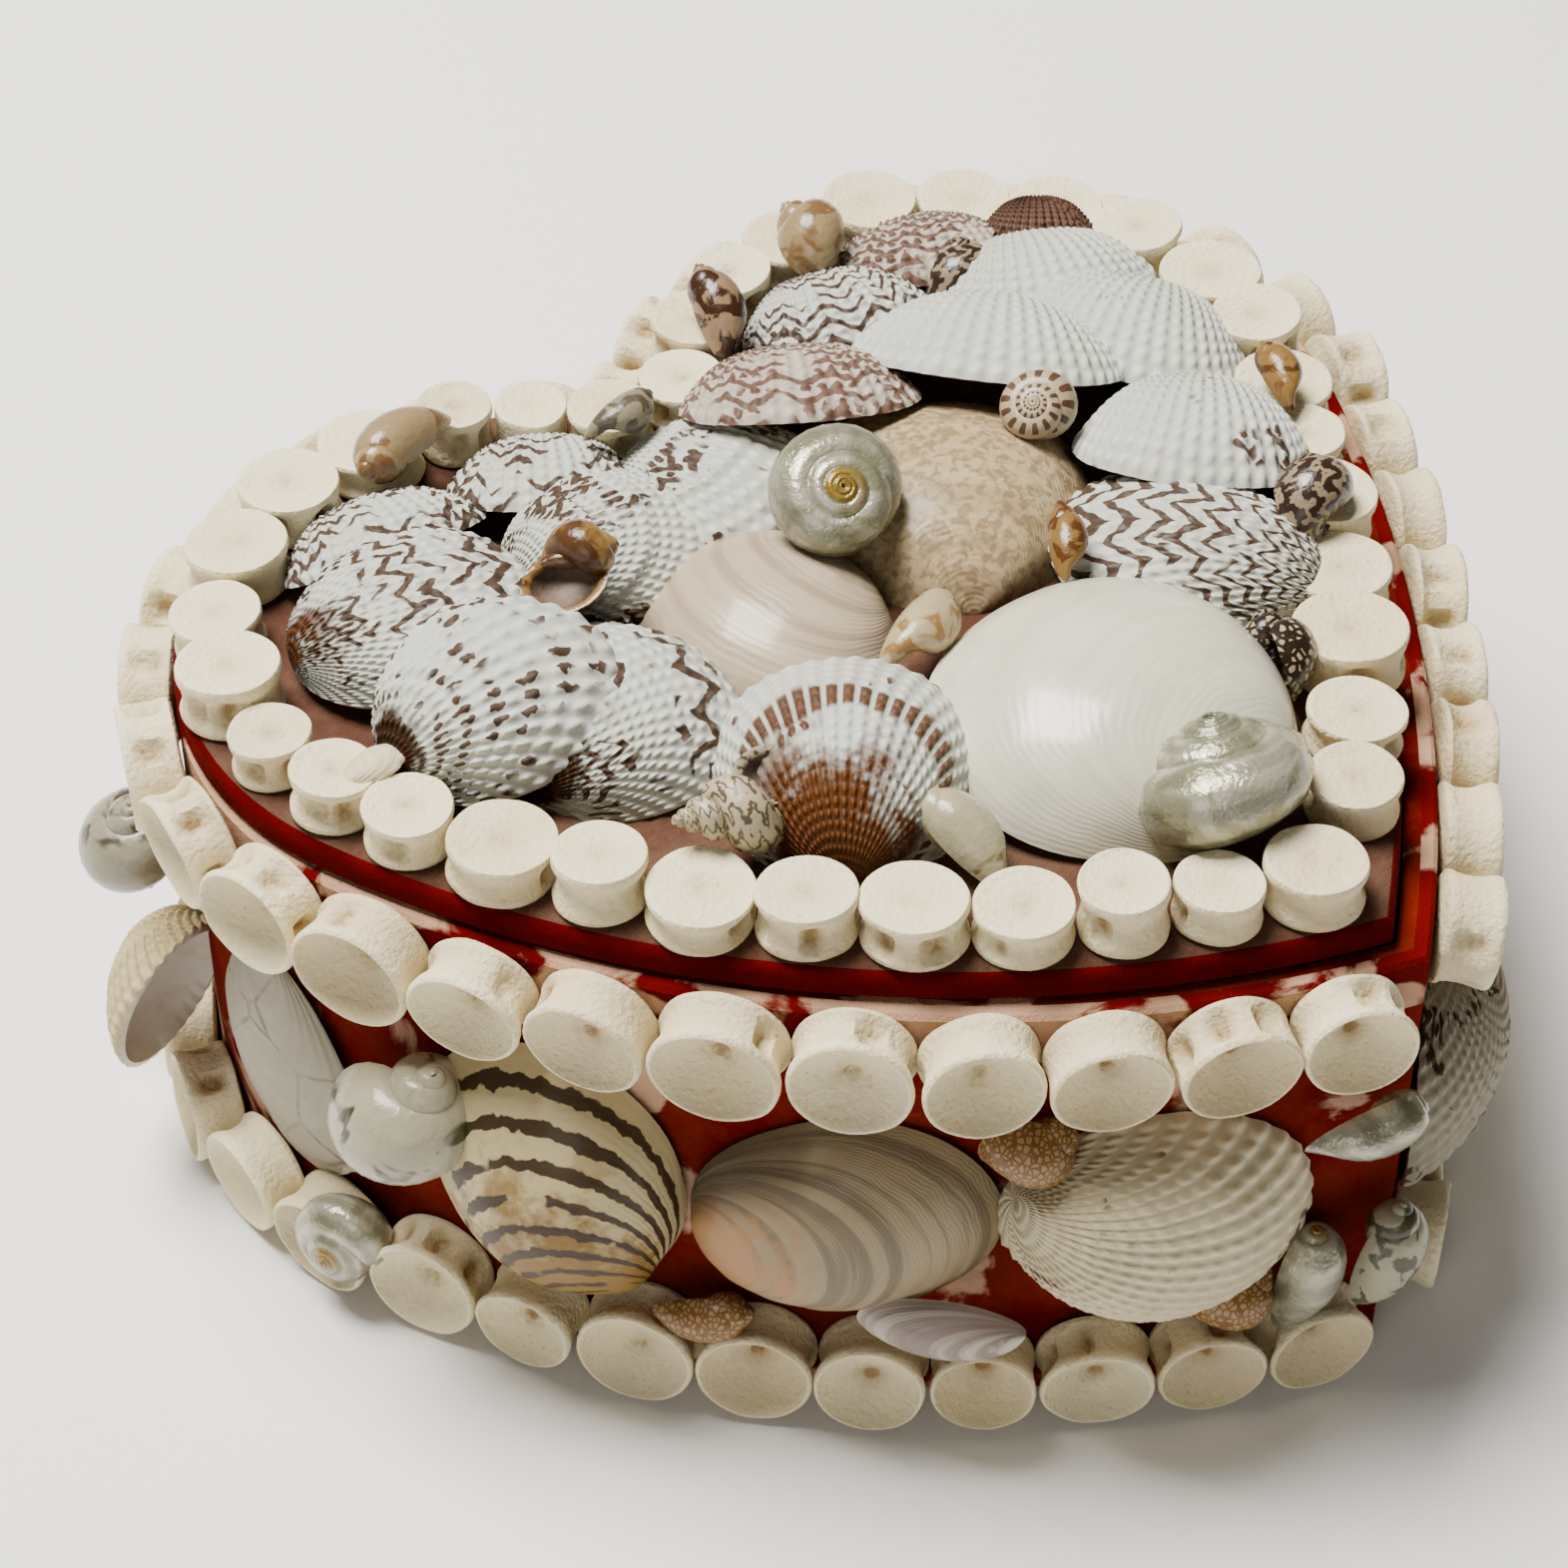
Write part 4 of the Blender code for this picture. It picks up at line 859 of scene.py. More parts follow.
# Each snail's ground, pattern colour, pattern, its scale and its share, and roughness.
SNAIL_FINISHES = {
    "tan_gloss": ((0.28, 0.20, 0.10), (0.15, 0.08, 0.03), "cloud", 260, 0.5, 0.25),
    "grey_net": ((0.22, 0.19, 0.12), (0.07, 0.055, 0.035), "cloud", 420, 0.50, 0.35),
    "worn_grey": ((0.26, 0.24, 0.17), (0.06, 0.05, 0.03), "cloud", 180, 0.40, 0.3),
    "green_mottle": ((0.34, 0.32, 0.22), (0.06, 0.06, 0.03), "cloud", 420, 0.45, 0.35),
    "lumpy": ((0.38, 0.35, 0.24), (0.05, 0.05, 0.025), "cloud", 150, 0.22, 0.25),
    "amber_gloss": ((0.22, 0.12, 0.035), (0.08, 0.030, 0.007), "cloud", 420, 0.50, 0.25),
    "dark_blotch": ((0.24, 0.16, 0.09), (0.035, 0.014, 0.006), "cloud", 380, 0.52, 0.25),
    "dark_stripe": ((0.26, 0.19, 0.12), (0.024, 0.013, 0.008), "stripe", 36, 0.6, 0.28),
    "honey_gloss": ((0.42, 0.34, 0.20), (0.24, 0.13, 0.04), "cloud", 260, 0.30, 0.2),
    "net": ((0.38, 0.30, 0.18), (0.018, 0.010, 0.006), "net", 1200, 0.7, 0.3),
    "cream_gloss": ((0.36, 0.32, 0.20), (0.16, 0.12, 0.05), "cloud", 170, 0.30, 0.2),
    "whelk": ((0.44, 0.38, 0.25), (0.09, 0.065, 0.035), "stripe", 30, 0.30, 0.45),
    "dotted": ((0.38, 0.30, 0.19), (0.07, 0.035, 0.018), "rings", 0, 0.5, 0.4),
    "aperture": ((0.24, 0.13, 0.035), (0.07, 0.03, 0.01), "cloud", 240, 0.45, 0.25),
    "brown_net": ((0.36, 0.22, 0.08), (0.15, 0.065, 0.014), "net", 1700, 0.45, 0.45),
}


def snail_material(name, key, seed):
    """The outside of one snail."""
    ground, second, kind, scale, share, roughness = SNAIL_FINISHES[key]
    material, nodes, point = new_material(name, roughness, 0.35, coat_weight=0.2,
                                          coat_roughness=0.15)
    moved = nodes.shifted(point, (seed * 0.05,) * 3)
    tone = nodes.group("uneven_tone", Point=moved, Scale=200.0)
    along, round_tube = nodes.split(nodes.add("ShaderNodeUVMap", uv_map="growth").outputs[0])
    low, high = 0.70 - 0.4 * share, 0.76 - 0.4 * share
    if kind == "cloud":
        value = nodes.noise(moved, float(scale), 3.0, 0.8)
    elif kind == "net":
        value = nodes.step(nodes.cells(moved, float(scale)), 0.28, 0.05)
        low, high = 1.02 - share, 1.08 - share
    elif kind == "stripe":
        flame = nodes.math("PINGPONG", nodes.times(round_tube, 9.0), 0.5)
        wave = nodes.plus(nodes.times(along, float(scale)),
                          nodes.times(nodes.plus(nodes.noise(moved, 1100.0, 2.0), flame), 1.4))
        value = nodes.away(nodes.math("FRACT", wave), 0.5)
        low, high = share / 2 + 0.04, share / 2 - 0.04
    else:
        wave = nodes.math("COSINE", nodes.times(along, DOTS_ALONG * 2 * math.pi))
        belt = nodes.step(nodes.away(round_tube, 0.64), 0.10, 0.05)
        value = nodes.times(nodes.plus(nodes.times(wave, 0.4), 0.5), belt)
    colour = nodes.mix(nodes.times(tone["Tone"], 0.5), ground, scaled(ground, 0.7))
    colour = nodes.mix(nodes.step(value, low, high), colour, second)
    nodes.finish(colour, tone["Height"], 0.10 * MM)
    return material


def pearl_material(name, apex_tint):
    """Worn mother-of-pearl: silver-grey with faint green and pink, another tint at the apex, and painted
    shade in the grooves between its spiral ridges.
    """
    material, nodes, point = new_material(name, 0.25, 0.4, coat_weight=0.5, coat_roughness=0.1,
                                          metallic=0.35)
    along, round_tube = nodes.split(nodes.add("ShaderNodeUVMap", uv_map="growth").outputs[0])
    tone = nodes.group("uneven_tone", Point=point, Scale=300.0)
    cloud = nodes.step(nodes.noise(point, 210.0, 2.0, 1.0), 0.40, 0.60)
    colour = nodes.mix(cloud, *PEARL_CLOUDS)
    colour = nodes.mix(nodes.times(tone["Tone"], 0.4), colour, PEARL_WEAR)
    colour = nodes.mix(nodes.step(along, 0.62, 0.42), colour, apex_tint)
    ridge = nodes.math("COSINE", nodes.times(round_tube, 14 * math.pi))
    # Painted shade: darker in the grooves between the spiral ridges.
    shaded = nodes.times(nodes.step(ridge, 0.3, -0.8), 0.45)
    colour = nodes.mix(shaded, colour, PEARL_GROOVE_SHADE)
    nodes.finish(colour, nodes.plus(nodes.times(ridge, 0.5), tone["Height"]), 0.12 * MM)
    return material


# ---------------------------------------------------------------- vertebrae

def add_disc(row, profile, diameter, height, place, rng, pits):
    """One vertebra spun from its outline, with pits sunk in its side, gathered into a row."""
    rows = bpy.context.scene.shell_box_rows
    bm = bmesh.new()
    stain = bm.verts.layers.float.new("stain")
    own = bm.verts.layers.float.new("own_tone")
    radius = diameter / 2
    waist = rng.uniform(*WAIST_RANGE)
    cup = rng.uniform(*CUP_RANGE)
    verts = []
    for index, (share, level, dirt) in enumerate(profile):
        if index >= DISH_START:
            level = 1 - (1 - level) * cup
        pinched = 1 - (1 - share) * waist if 0.2 < level < 0.8 and share > 0.8 else share
        vertex = bm.verts.new((pinched * radius, 0, level * height))
        vertex[stain] = dirt
        verts.append(vertex)
    edges = [bm.edges.new(pair) for pair in zip(verts, verts[1:])]
    bmesh.ops.spin(bm, geom=verts + edges, cent=(0, 0, 0), axis=(0, 0, 1), steps=DISC_STEPS,
                   angle=2 * math.pi, use_merge=True)
    bmesh.ops.remove_doubles(bm, verts=bm.verts, dist=DISC_MERGE)
    bmesh.ops.recalc_face_normals(bm, faces=bm.faces)
    tone = rng.random() ** 2
    oval = rng.uniform(-MOST_OVAL, MOST_OVAL)
    dig = rows.pit_depth / MM
    wobble = rows.unevenness / MM
    shift = Vector((rng.uniform(0, 50), rng.uniform(0, 50), rng.uniform(0, 50)))
    hollows = []
    middle = rng.uniform(0, 2 * math.pi)
    for _ in range(pits):
        middle += rng.uniform(*PIT_SPACING)
        hollows.append((middle, rng.uniform(*PIT_WIDTH), rng.uniform(*PIT_STRENGTH)))
    for vertex in bm.verts:
        x, y, z = vertex.co
        vertex[own] = tone
        if math.hypot(x, y) > 0.8 * radius and 0.12 * height < z < 0.88 * height:
            angle = math.atan2(y, x)
            for middle, wide, strength in hollows:
                apart = (angle - middle + math.pi) % (2 * math.pi) - math.pi
                depth = math.exp(-(apart * radius / wide) ** 4 - ((z / height - 0.5) / 0.27) ** 4)
                scale = 1 - dig * strength * depth / radius
                vertex.co.x *= scale
                vertex.co.y *= scale
                vertex[stain] = min(vertex[stain] + depth * PIT_STAIN, 1.0)
        vertex.co.x *= 1 + oval
        vertex.co.y *= 1 - oval
        vertex.co += wobble * noise.noise_vector(vertex.co * 0.35 + shift)
    put_in_place(bm, place)
    mesh = bpy.data.meshes.new("vertebra")
    bm.to_mesh(mesh)
    bm.free()
    row.from_mesh(mesh)
    bpy.data.meshes.remove(mesh)


def row_places(diameters, start, end):
    """Distances of touching discs between two ends, the slack or squeeze shared evenly."""
    stretch = abs(end - start) / sum(diameters)
    direction = 1 if end > start else -1
    places = []
    reached = start
    for diameter in diameters:
        places.append(reached + direction * stretch * diameter / 2)
        reached += direction * stretch * diameter
    return places, stretch


def lid_row(rng):
    """The upright vertebrae round the top of the lid, open at the cleft."""
    bm = bmesh.new()
    route = Route(-LID_ROW_INSET, LID_SHIFT)
    half_gap = LID_ROW_CLEFT_GAP / 2
    right_end = route.cleft - half_gap + LID_ROW_RIGHT[-1] / 2
    left_end = route.cleft + half_gap - LID_ROW_LEFT[-1] / 2
    left_start = route.length + LID_ROW_TIP_TURN / 2
    left, left_stretch = row_places(LID_ROW_LEFT, left_start, left_end)
    right, right_stretch = row_places(LID_ROW_RIGHT, 2 * LID_ROW_TIP_TURN, right_end)
    row = list(zip(left[::-1], LID_ROW_LEFT[::-1], [left_stretch] * len(left)))
    row += list(zip(right, LID_ROW_RIGHT, [right_stretch] * len(right)))
    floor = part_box("lid_vertebra_row")[0].z / MM
    for index, (distance, diameter, stretch) in enumerate(row):
        point, out = route.at(distance)
        height = LID_DISC_HEIGHTS[index % len(LID_DISC_HEIGHTS)]
        lean = Matrix.Rotation(rng.uniform(-LID_DISC_LEAN, LID_DISC_LEAN), 4, "X")
        lean = lean @ Matrix.Rotation(rng.uniform(-LID_DISC_LEAN, LID_DISC_LEAN), 4, "Y")
        turn = math.atan2(out.x, -out.y) + rng.uniform(-LID_DISC_TURN, LID_DISC_TURN)
        facing = Matrix.Rotation(turn, 4, "Z")
        place = Matrix.Translation((*point, floor - LID_DISC_SINK)) @ lean @ facing
        add_disc(bm, UPRIGHT_DISC, diameter * stretch * rng.uniform(*LID_DISC_FIT),
                 height + LID_DISC_SINK, place, rng, rng.choice(LID_DISC_PITS))
    return bm


def wall_row(diameters, height, droop, rng):
    """Vertebrae facing out from the wall, their dished faces outward, open at the tip."""
    bm = bmesh.new()
    route = Route(SIDE_DISC_DEPTH / 2)
    places, stretch = row_places(diameters, ROW_CORNER, route.length - ROW_CORNER)
    for distance, diameter in zip(places, diameters):
        point, out = route.at(distance)
        fall = math.radians(droop) + rng.uniform(-SIDE_DISC_FALL, SIDE_DISC_FALL)
        side = Vector((-out.y, out.x)) * rng.uniform(-SIDE_DISC_TURN, SIDE_DISC_TURN)
        axis = Vector((*(out * math.cos(fall) + side), -math.sin(fall))).normalized()
        turn = axis.to_track_quat("Z", "Y").to_matrix().to_4x4()
        depth = SIDE_DISC_DEPTH - 0.3 + rng.uniform(-0.25, 0.25)
        foot = Vector((*point, height)) - axis * (SIDE_DISC_DEPTH / 2 - SIDE_DISC_SINK)
        spin = Matrix.Rotation(rng.uniform(*SIDE_DISC_SPIN), 4, "Z")
        place = Matrix.Translation(foot) @ turn @ spin
        add_disc(bm, DISHED_DISC, diameter * stretch * rng.uniform(*SIDE_DISC_FIT), depth, place,
                 rng, rng.choice(SIDE_DISC_PITS))
    return bm


# ---------------------------------------------------------------- valves

def lip_bend(relief, growth):
    """How far the outer face has turned down at some growth, in radians."""
    return math.radians(relief.bend) * (1 - growth) ** 0.9


def valve_point(relief, size, turn, growth, highest):
    """A point of the smooth outer face: growth 0 is the umbo and 1 the lip, turn goes round it."""
    width, length, dome = size
    angle = math.pi * turn
    bend = lip_bend(relief, growth)
    along = (1 + math.cos(angle)) / 2
    x = growth * math.sin(angle) / 2 * (1 + 0.10 * math.cos(angle))
    x += relief.lean * (1 - growth) ** 1.5
    z = growth * along ** 0.75 * math.sin(bend) / highest + relief.beak * (1 - growth) ** 2.2
    return Vector((x * width, (growth * along * math.cos(bend) - 0.5) * length, z * dome))


def valve_height(relief, turn, growth):
    """Height of the ribs, beads and steps above the smooth face."""
    height = 0.0
    if relief.ribs:
        fade = smooth_step(0.05, 0.30, growth) * (1 - smooth_step(0.80, 0.97, abs(turn)))
        rib = 0.5 + 0.5 * math.cos(math.pi * relief.ribs * turn)
        bead = math.sin(math.pi * ((relief.rings * growth) % 1.0) ** 1.4)
        height += relief.rib_depth * fade * rib * (1 + relief.bead * (bead - 0.5)) * math.sqrt(growth)
    if relief.steps:
        share = (growth * relief.steps) % 1.0
        height += relief.step_depth * (share ** 2 - 0.5) * smooth_step(0.1, 0.4, growth)
    return height


def valve(relief, size, seed):
    """One valve as a closed body in millimetres, its lip at z = 0 and its outer face up."""
    shells = bpy.context.scene.shell_box_shells
    rows = max(relief.rings * 4, 40 if relief.steps > 20 else 28)
    bm = new_grid(relief.ribs * 4 or PLAIN_COLUMNS, rows, lambda x: x)
    round_lip = bm.verts.layers.float.new("round_lip")
    curve = [i / CURVE_STEPS for i in range(CURVE_STEPS + 1)]
    highest = max(growth * math.sin(lip_bend(relief, growth)) for growth in curve)
    width, length, dome = size
    shift = Vector((seed * 3.1, seed * 1.7, seed * 0.9))
    for vertex in bm.verts:
        turn, growth = vertex.co.x, (vertex.co.y + 1) / 2
        vertex[round_lip] = turn
        point = valve_point(relief, size, turn, growth, highest)
        out = Vector((point.x / width, (point.y + 0.05 * length) / length,
                      0.35 + 0.6 * point.z / dome)).normalized()
        height = valve_height(relief, turn, growth) * shells.sculpture
        chipped = relief.jag * max(noise.noise(Vector((turn * 9 + seed, seed, 0.5))), 0.0)
        point -= out * chipped * DEEPEST_CHIP * smooth_step(0.90, 1.0, growth)
        uneven = noise.noise_vector(point * 0.12 + shift)
        vertex.co = point + out * height + UNEVEN_LIP * growth * uneven
    bmesh.ops.remove_doubles(bm, verts=bm.verts, dist=VALVE_MERGE)
    rim = [edge for edge in bm.edges if edge.is_boundary]
    lip = shells.lip / MM
    outer = set(bm.faces)
    for inward, deep in UNDERSIDE:
        ring, rim = next_ring(bm, rim)
        for vertex in ring:
            edge = valve_point(relief, size, vertex[round_lip], 1.0, highest)
            edge.z = 0
            vertex.co = edge * inward - edge.normalized() * lip
            vertex.co.z = (dome * HOLLOW_SHARE - lip) * deep - LIP_BELOW
    bmesh.ops.contextual_create(bm, geom=rim)
    for face in bm.faces:
        if face not in outer:
            face.material_index = 1
    return bm


def lid_pose(middle, heading, tilt):
    """Pose of a shell over a point of the lid."""
    turn = Matrix.Rotation(math.radians(heading - 90), 4, "Z")
    lean = Matrix.Rotation(math.radians(tilt), 4, "X")
    return Matrix.Translation((*middle, 0)) @ turn @ lean


def lid_pose_of(row):
    """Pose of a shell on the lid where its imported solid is, and the level of its top."""
    middle, _, high = node_middle(row.node)
    return lid_pose(middle + Vector((row.x, row.y)), row.heading, row.tilt), high + row.rise


def facing_out(route, distance, height, rise, heading):
    """Pose of a shell that faces out from the wall, at a distance along it."""
    point, out = route.at(distance)
    facing = Vector((*out, 0)).to_track_quat("Z", "Y").to_matrix().to_4x4()
    turn = facing @ Matrix.Rotation(math.radians(heading - 90), 4, "Z")
    return Matrix.Translation((*(point + out * rise), height)) @ turn


def wall_pose(route, row, rise):
    """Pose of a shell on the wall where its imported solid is, facing out."""
    middle, low, high = node_middle(row.node)
    distance, height = route.nearest(middle) + row.x, (low + high) / 2 + row.y
    pose = facing_out(route, distance, height, rise, row.heading)
    return pose @ Matrix.Rotation(math.radians(row.tilt), 4, "X")


# ---------------------------------------------------------------- snails

def snail(coil, length):
    """A coiled shell as one closed tube in millimetres, its apex towards +Y and its middle at 0."""
    bm = new_grid(int(STEPS_PER_WHORL * coil.whorls), TUBE_SIDES, lambda x: (x + 1) / 2)
    round_tube = bm.verts.layers.float.new("round_tube")
    along_tube = bm.verts.layers.float.new("along_tube")
    for vertex in bm.verts:
        along, angle = (vertex.co.x + 1) / 2, math.pi * vertex.co.y
        vertex[round_tube] = angle
        vertex[along_tube] = along
        turn = -2 * math.pi * coil.whorls * (1 - along)
        size = coil.widening ** (turn / (2 * math.pi))
        closing = 1 - coil.close * smooth_step(0.90, 1.0, along)
        swell = 1.0
        if coil.ribs:
            rib = coil.rib_depth * max(math.cos(turn * coil.ribs), 0.0)
            swell += rib * (1 if abs(angle) < 1.9 else 0.2)
        if coil.beads:
            bead = 0.07 * max(math.cos(turn * coil.beads), 0.0)
            swell += bead * (1 if 0.3 < angle < 1.6 else 0.1)
            swell += 0.03 * math.cos(angle * 9)
        tube = coil.tube * swell * closing
        wide = 1 - (1 - coil.slit) * smooth_step(0.78, 1.0, along)
        reach = size * (coil.gap * closing + tube * wide * math.cos(angle))
        level = size * (-coil.drop + tube * coil.tall * math.sin(angle))
        vertex.co = (reach * math.cos(turn), level, reach * math.sin(turn))
    bmesh.ops.remove_doubles(bm, verts=bm.verts, dist=SNAIL_MERGE)
    ends = [edge for edge in bm.edges if edge.is_boundary]
    mouth = [edge for edge in ends if edge.verts[0][along_tube] > 0.5]
    apex = [edge for edge in ends if edge not in mouth]
    if apex:
        bmesh.ops.contextual_create(bm, geom=apex)
    outer = set(bm.faces)
    open_part = 1 - coil.close
    middle = Vector((coil.gap * open_part, -coil.drop, 0))
    for share, back in MOUTH:
        ring, mouth = next_ring(bm, mouth)
        for vertex in ring:
            angle = vertex[round_tube]
            lip = Vector((coil.slit * math.cos(angle), coil.tall * math.sin(angle), 0))
            vertex.co = middle + share * coil.tube * open_part * lip
            vertex.co.z -= back * coil.tube
    bmesh.ops.contextual_create(bm, geom=mouth)
    # The faces closing the mouth, set back inside the tube, take the painted shade.
    for face in bm.faces:
        if face not in outer and face.calc_center_median().z < -0.03:
            face.material_index = 1
    low = [min(vertex.co[axis] for vertex in bm.verts) for axis in range(3)]
    high = [max(vertex.co[axis] for vertex in bm.verts) for axis in range(3)]
    centre = Vector([(a + b) / 2 for a, b in zip(low, high)])
    longest = max(b - a for a, b in zip(low, high))
    bmesh.ops.translate(bm, verts=bm.verts, vec=-centre)
    bmesh.ops.scale(bm, verts=bm.verts, vec=(length / longest,) * 3)
    bmesh.ops.recalc_face_normals(bm, faces=bm.faces)
    return bm


# ---------------------------------------------------------------- operators

def add_valve(row, name, pose, top, inside, seed, replaced=()):
    """One valve in its place, its highest point at a level where one is given."""
    relief = RELIEFS[row.relief]
    bm = valve(relief, (row.width, row.length, row.dome), seed)
    put_in_place(bm, pose, top)
    outside = valve_material(row.node + "_finish", relief, LOOKS[row.look], seed)
    add_piece(name, bm, (outside, inside), replaced, SHELL_ANGLE)


def add_snail(row, name, pose, top, finishes, seed, replaced=()):
    """One snail in its place, its highest point at a level where one is given."""
    bm = snail(COILS[row.coil], row.length)
    put_in_place(bm, pose @ Matrix.Rotation(math.radians(row.spin), 4, "Y"), top)
    outside = finishes.get(row.finish) or snail_material(row.node + "_finish", row.finish, seed)
    add_piece(name, bm, (outside, finishes["mouth"]), replaced, SHELL_ANGLE)


class SHELLBOX_OT_boards(bpy.types.Operator):
    """Make the velvet-covered base, wall and lid board"""
    bl_idname = "shell_box.boards"
    bl_label = "Boards and wall"

    def execute(self, context):
        boards = context.scene.shell_box_boards
        red = velvet_material("red_velvet", boards.velvet, WORN_RED, 0.6, 0.03)
        rim = velvet_material("glue_smeared_velvet", boards.velvet, WORN_RIM, 0.5, 0.14)
        worn = velvet_material("worn_velvet", boards.worn, WORN_LID, 0.8)
        # A darker copy of the velvet for the lid's edge: painted shade on its side.
        edge = velvet_material("shaded_edge_velvet", SHADED_EDGE_RED, EDGE_SHADE_PATCH, 0.6)
        low, high = (corner.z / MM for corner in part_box("base_board"))
        base = loft(((-BASE_EDGE, low), (0, low + BASE_EDGE), (0, high - BASE_EDGE),
                     (-BASE_EDGE, high)))
        add_piece("base_cloth", base, (red,), ("base_board",))
        low, high = (corner.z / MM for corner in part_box("box_wall"))
        inner = -WALL_THICKNESS
        wall = loft(((0, low), (0, high - GLUE_DEPTH), (0, high - WALL_EDGE), (-WALL_EDGE, high),
                     (-WALL_TOP_FACE, high), (inner + WALL_EDGE, high), (inner, high - WALL_EDGE),
                     (inner, low)), hollow=True)
        section = wall.verts.layers.int["section"]
        for face in wall.faces:
            touched = {vertex[section] for vertex in face.verts}
            face.material_index = 1 if touched <= GLUED_SECTIONS else 0
        add_piece("wall_cloth", wall, (red, rim), ("box_wall",))
        low, high = (corner.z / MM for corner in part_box("lid_board"))
        sections = [(-LID_INSET - inward, low + up) for inward, up in LID_FOOT]
        sections += [(-LID_INSET - inward, high - down) for inward, down in LID_SHOULDER]
        lid = loft(sections, LID_SHIFT)
        # Level faces are the lid's top and underside; the standing edge keeps the darker velvet, which
        # is painted shade.
        for face in lid.faces:
            if face.normal.z > LEVEL_FACE:
                face.material_index = 1
            elif face.normal.z < -LEVEL_FACE:
                face.material_index = 2
        add_piece("lid_cloth", lid, (edge, worn, red), ("lid_board",))
        return {"FINISHED"}


class SHELLBOX_OT_rows(bpy.types.Operator):
    """Make the three rows of fish vertebrae"""
    bl_idname = "shell_box.rows"
    bl_label = "Vertebra rows"

    def execute(self, context):
        bone = bone_material()
        lid = lid_row(random.Random(LID_ROW_SEED))
        add_piece("lid_vertebrae", lid, (bone,), ("lid_vertebra_row",))
        upper = wall_row(UPPER_ROW, UPPER_ROW_HEIGHT, UPPER_ROW_DROOP, random.Random(UPPER_ROW_SEED))
        add_piece("upper_vertebrae", upper, (bone,), ("upper_vertebra_row",))
        lower = wall_row(LOWER_ROW, LOWER_ROW_HEIGHT, 0.0, random.Random(LOWER_ROW_SEED))
        add_piece("lower_vertebrae", lower, (bone,), ("lower_vertebra_row",))
        return {"FINISHED"}


class SHELLBOX_OT_valves(bpy.types.Operator):
    """Make the bivalve shells on the lid and round the wall"""
    bl_idname = "shell_box.valves"
    bl_label = "Valves"

    def execute(self, context):
        inside = plain_material("valve_inside", 0.35, 120.0, VALVE_INSIDE)
        for seed, row in enumerate(LID_VALVES, LID_VALVE_SEED):
            pose, top = lid_pose_of(row)
            add_valve(row, row.node + "_valve", pose, top, inside, seed, (row.node,))
        route = Route(0)
        for seed, row in enumerate(WALL_VALVES, WALL_VALVE_SEED):
            pose = wall_pose(route, row, WALL_SEAT + row.rise)
            add_valve(row, row.node + "_valve", pose, None, inside, seed, (row.node,))
        pose = facing_out(route, WALL_CHIP.x, WALL_CHIP.y, WALL_CHIP.rise, WALL_CHIP.heading)
        add_valve(WALL_CHIP, WALL_CHIP.node, pose, None, inside, CHIP_SEED)
        pose = lid_pose((LID_CHIP.x, LID_CHIP.y), LID_CHIP.heading, LID_CHIP.tilt)
        add_valve(LID_CHIP, LID_CHIP.node, pose, LID_CHIP.rise, inside, CHIP_SEED)
        return {"FINISHED"}


class SHELLBOX_OT_snails(bpy.types.Operator):
    """Make the snails on the lid and round the wall"""
    bl_idname = "shell_box.snails"
    bl_label = "Snails"

    def execute(self, context):
        # The mouth's closing faces carry painted shade.
        finishes = {"mouth": plain_material("shaded_snail_mouth", 0.5, 400.0, SHADED_MOUTH),
                    "pearl": pearl_material("worn_pearl", BRASSY_APEX),
                    "silver": pearl_material("silver_pearl", SILVER_APEX)}
        for seed, row in enumerate(LID_SNAILS, SNAIL_SEEDS["lid"]):
            pose, top = lid_pose_of(row)
            add_snail(row, row.node + "_coil", pose, top, finishes, seed, (row.node,))
        route = Route(0)
        for seed, row in enumerate(WALL_SNAILS, SNAIL_SEEDS["wall"]):
            pose = wall_pose(route, row, WALL_SEAT + row.length * SNAIL_SEAT + row.rise)
            add_snail(row, row.node + "_coil", pose, None, finishes, seed, (row.node,))
        for seed, row in enumerate(LID_EXTRAS, SNAIL_SEEDS["lid_extras"]):
            pose = lid_pose((row.x, row.y), row.heading, row.tilt)
            add_snail(row, row.node, pose, row.rise, finishes, seed)
        for seed, row in enumerate(WALL_EXTRAS, SNAIL_SEEDS["wall_extras"]):
            pose = facing_out(route, row.x, row.y, row.rise, row.heading)
            add_snail(row, row.node, pose, None, finishes, seed)
        for row in TURBANS:
            pose, top = lid_pose_of(row)
            add_snail(row, row.node + "_coil", pose, top, finishes, 0, (row.node,))
        return {"FINISHED"}


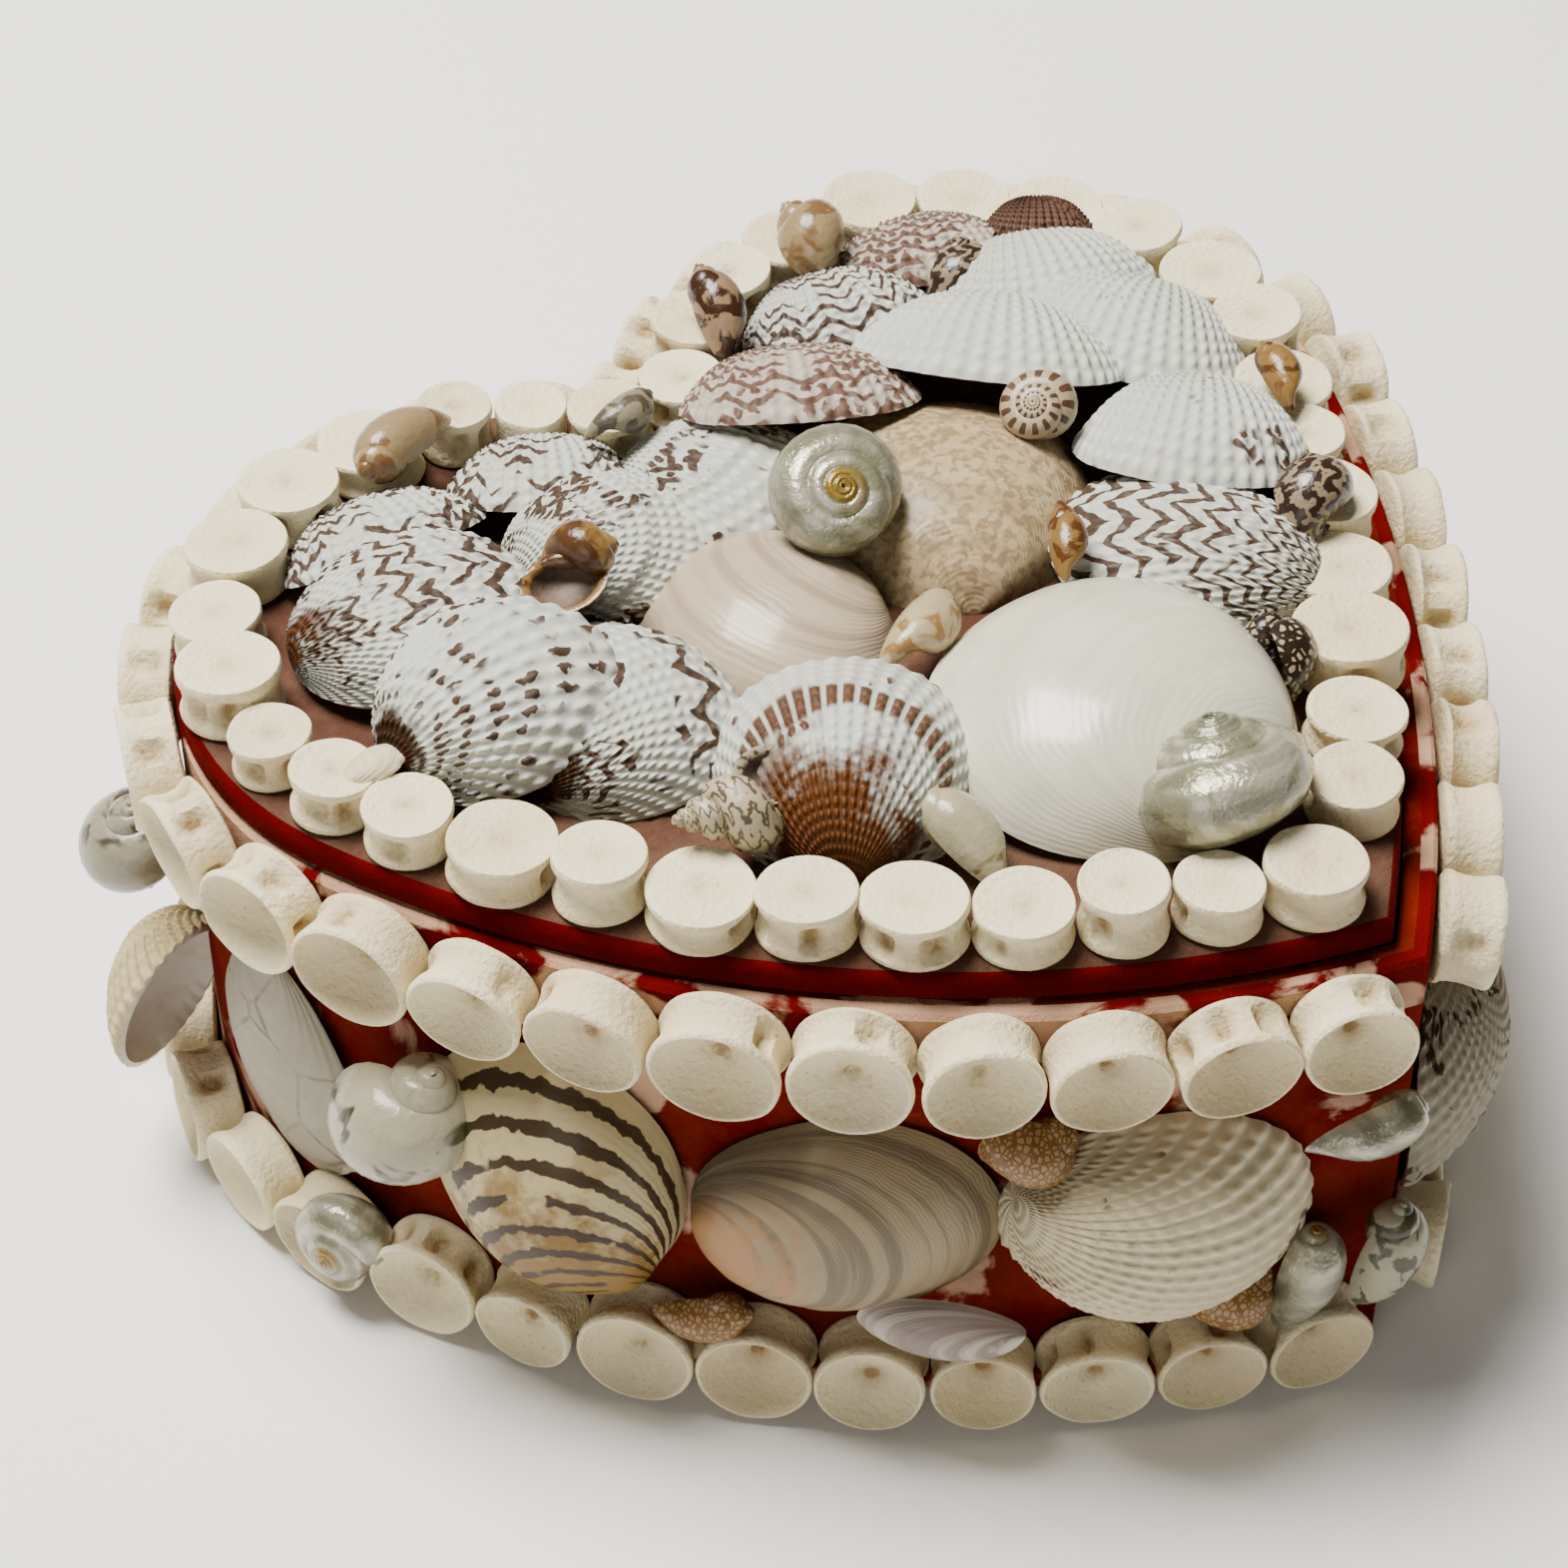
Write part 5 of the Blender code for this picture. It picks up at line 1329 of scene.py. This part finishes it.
class SHELLBOX_OT_stage(bpy.types.Operator):
    """Make the floor, the lights and the camera"""
    bl_idname = "shell_box.stage"
    bl_label = "Stage"

    def execute(self, context):
        stage = context.scene.shell_box_stage
        bm = bmesh.new()
        bmesh.ops.create_grid(bm, x_segments=1, y_segments=1, size=FLOOR_SIZE)
        add_object("floor", bm, (self.floor_material(stage),))
        world = bpy.data.worlds.new("studio")
        world.use_nodes = True
        background = world.node_tree.nodes["Background"]
        background.inputs[0].default_value = WARM_SKY
        background.inputs[1].default_value = SKY_STRENGTH
        context.scene.world = world
        for name, (place, size, share) in LIGHTS.items():
            light = bpy.data.lights.new(name, "AREA")
            light.energy = stage.light * share
            light.size = size
            light.color = WARM_LIGHT
            self.add_aimed(context, name, light, place, LIGHT_AIM - Vector(place))
        camera = bpy.data.cameras.new("camera")
        camera.lens = CAMERA_LENS
        camera.sensor_width = CAMERA_SENSOR
        camera.clip_start = CAMERA_NEAR
        level = math.cos(CAMERA_ELEVATION)
        forward = Vector((-math.sin(CAMERA_AZIMUTH) * level, math.cos(CAMERA_AZIMUTH) * level,
                          -math.sin(CAMERA_ELEVATION)))
        context.scene.camera = self.add_aimed(context, "camera", camera, CAMERA_PLACE, forward)
        return {"FINISHED"}

    def floor_material(self, stage):
        """A plain pale floor, a touch uneven in tone."""
        material, nodes, point = new_material("studio_floor", 0.8)
        tone = nodes.times(nodes.noise(point, 4.0), 0.05)
        nodes.finish(nodes.mix(tone, tuple(stage.floor), FLOOR_SHADE))
        return material

    def add_aimed(self, context, name, data, place, forward):
        """A light or camera at a place, looking along a direction."""
        obj = bpy.data.objects.new(name, data)
        context.scene.collection.objects.link(obj)
        obj.location = place
        obj.rotation_euler = forward.to_track_quat("-Z", "Y").to_euler()
        return obj


class SHELLBOX_PT_panel(bpy.types.Panel):
    """The pieces of the shell box"""
    bl_idname = "SHELLBOX_PT_panel"
    bl_label = "Shell Box"
    bl_space_type = "VIEW_3D"
    bl_region_type = "UI"
    bl_category = "Shell Box"

    def draw(self, context):
        for setting in GROUPS:
            group = getattr(context.scene, setting)
            for key in group.bl_rna.properties.keys():
                if key not in ("rna_type", "name"):
                    self.layout.prop(group, key)
        for operator in OPERATORS:
            self.layout.operator(operator.bl_idname)


GROUPS = {"shell_box_rows": SHELLBOX_PG_rows, "shell_box_boards": SHELLBOX_PG_boards,
          "shell_box_shells": SHELLBOX_PG_shells, "shell_box_stage": SHELLBOX_PG_stage}
OPERATORS = (SHELLBOX_OT_stage, SHELLBOX_OT_boards, SHELLBOX_OT_rows, SHELLBOX_OT_valves,
             SHELLBOX_OT_snails)


def register():
    """Add the classes and their settings, and make the noise the same in each run."""
    noise.seed_set(NOISE_SEED)
    for cls in (*GROUPS.values(), *OPERATORS, SHELLBOX_PT_panel):
        bpy.utils.register_class(cls)
    for key, cls in GROUPS.items():
        setattr(bpy.types.Scene, key, PointerProperty(type=cls))


def unregister():
    """Remove the settings and the classes."""
    for key in GROUPS:
        delattr(bpy.types.Scene, key)
    for cls in (SHELLBOX_PT_panel, *reversed(OPERATORS), *reversed(GROUPS.values())):
        bpy.utils.unregister_class(cls)


def main():
    """Make the stage and every piece."""
    register()
    bpy.ops.shell_box.stage()
    bpy.ops.shell_box.boards()
    bpy.ops.shell_box.rows()
    bpy.ops.shell_box.valves()
    bpy.ops.shell_box.snails()


if __name__ == "__main__":
    main()
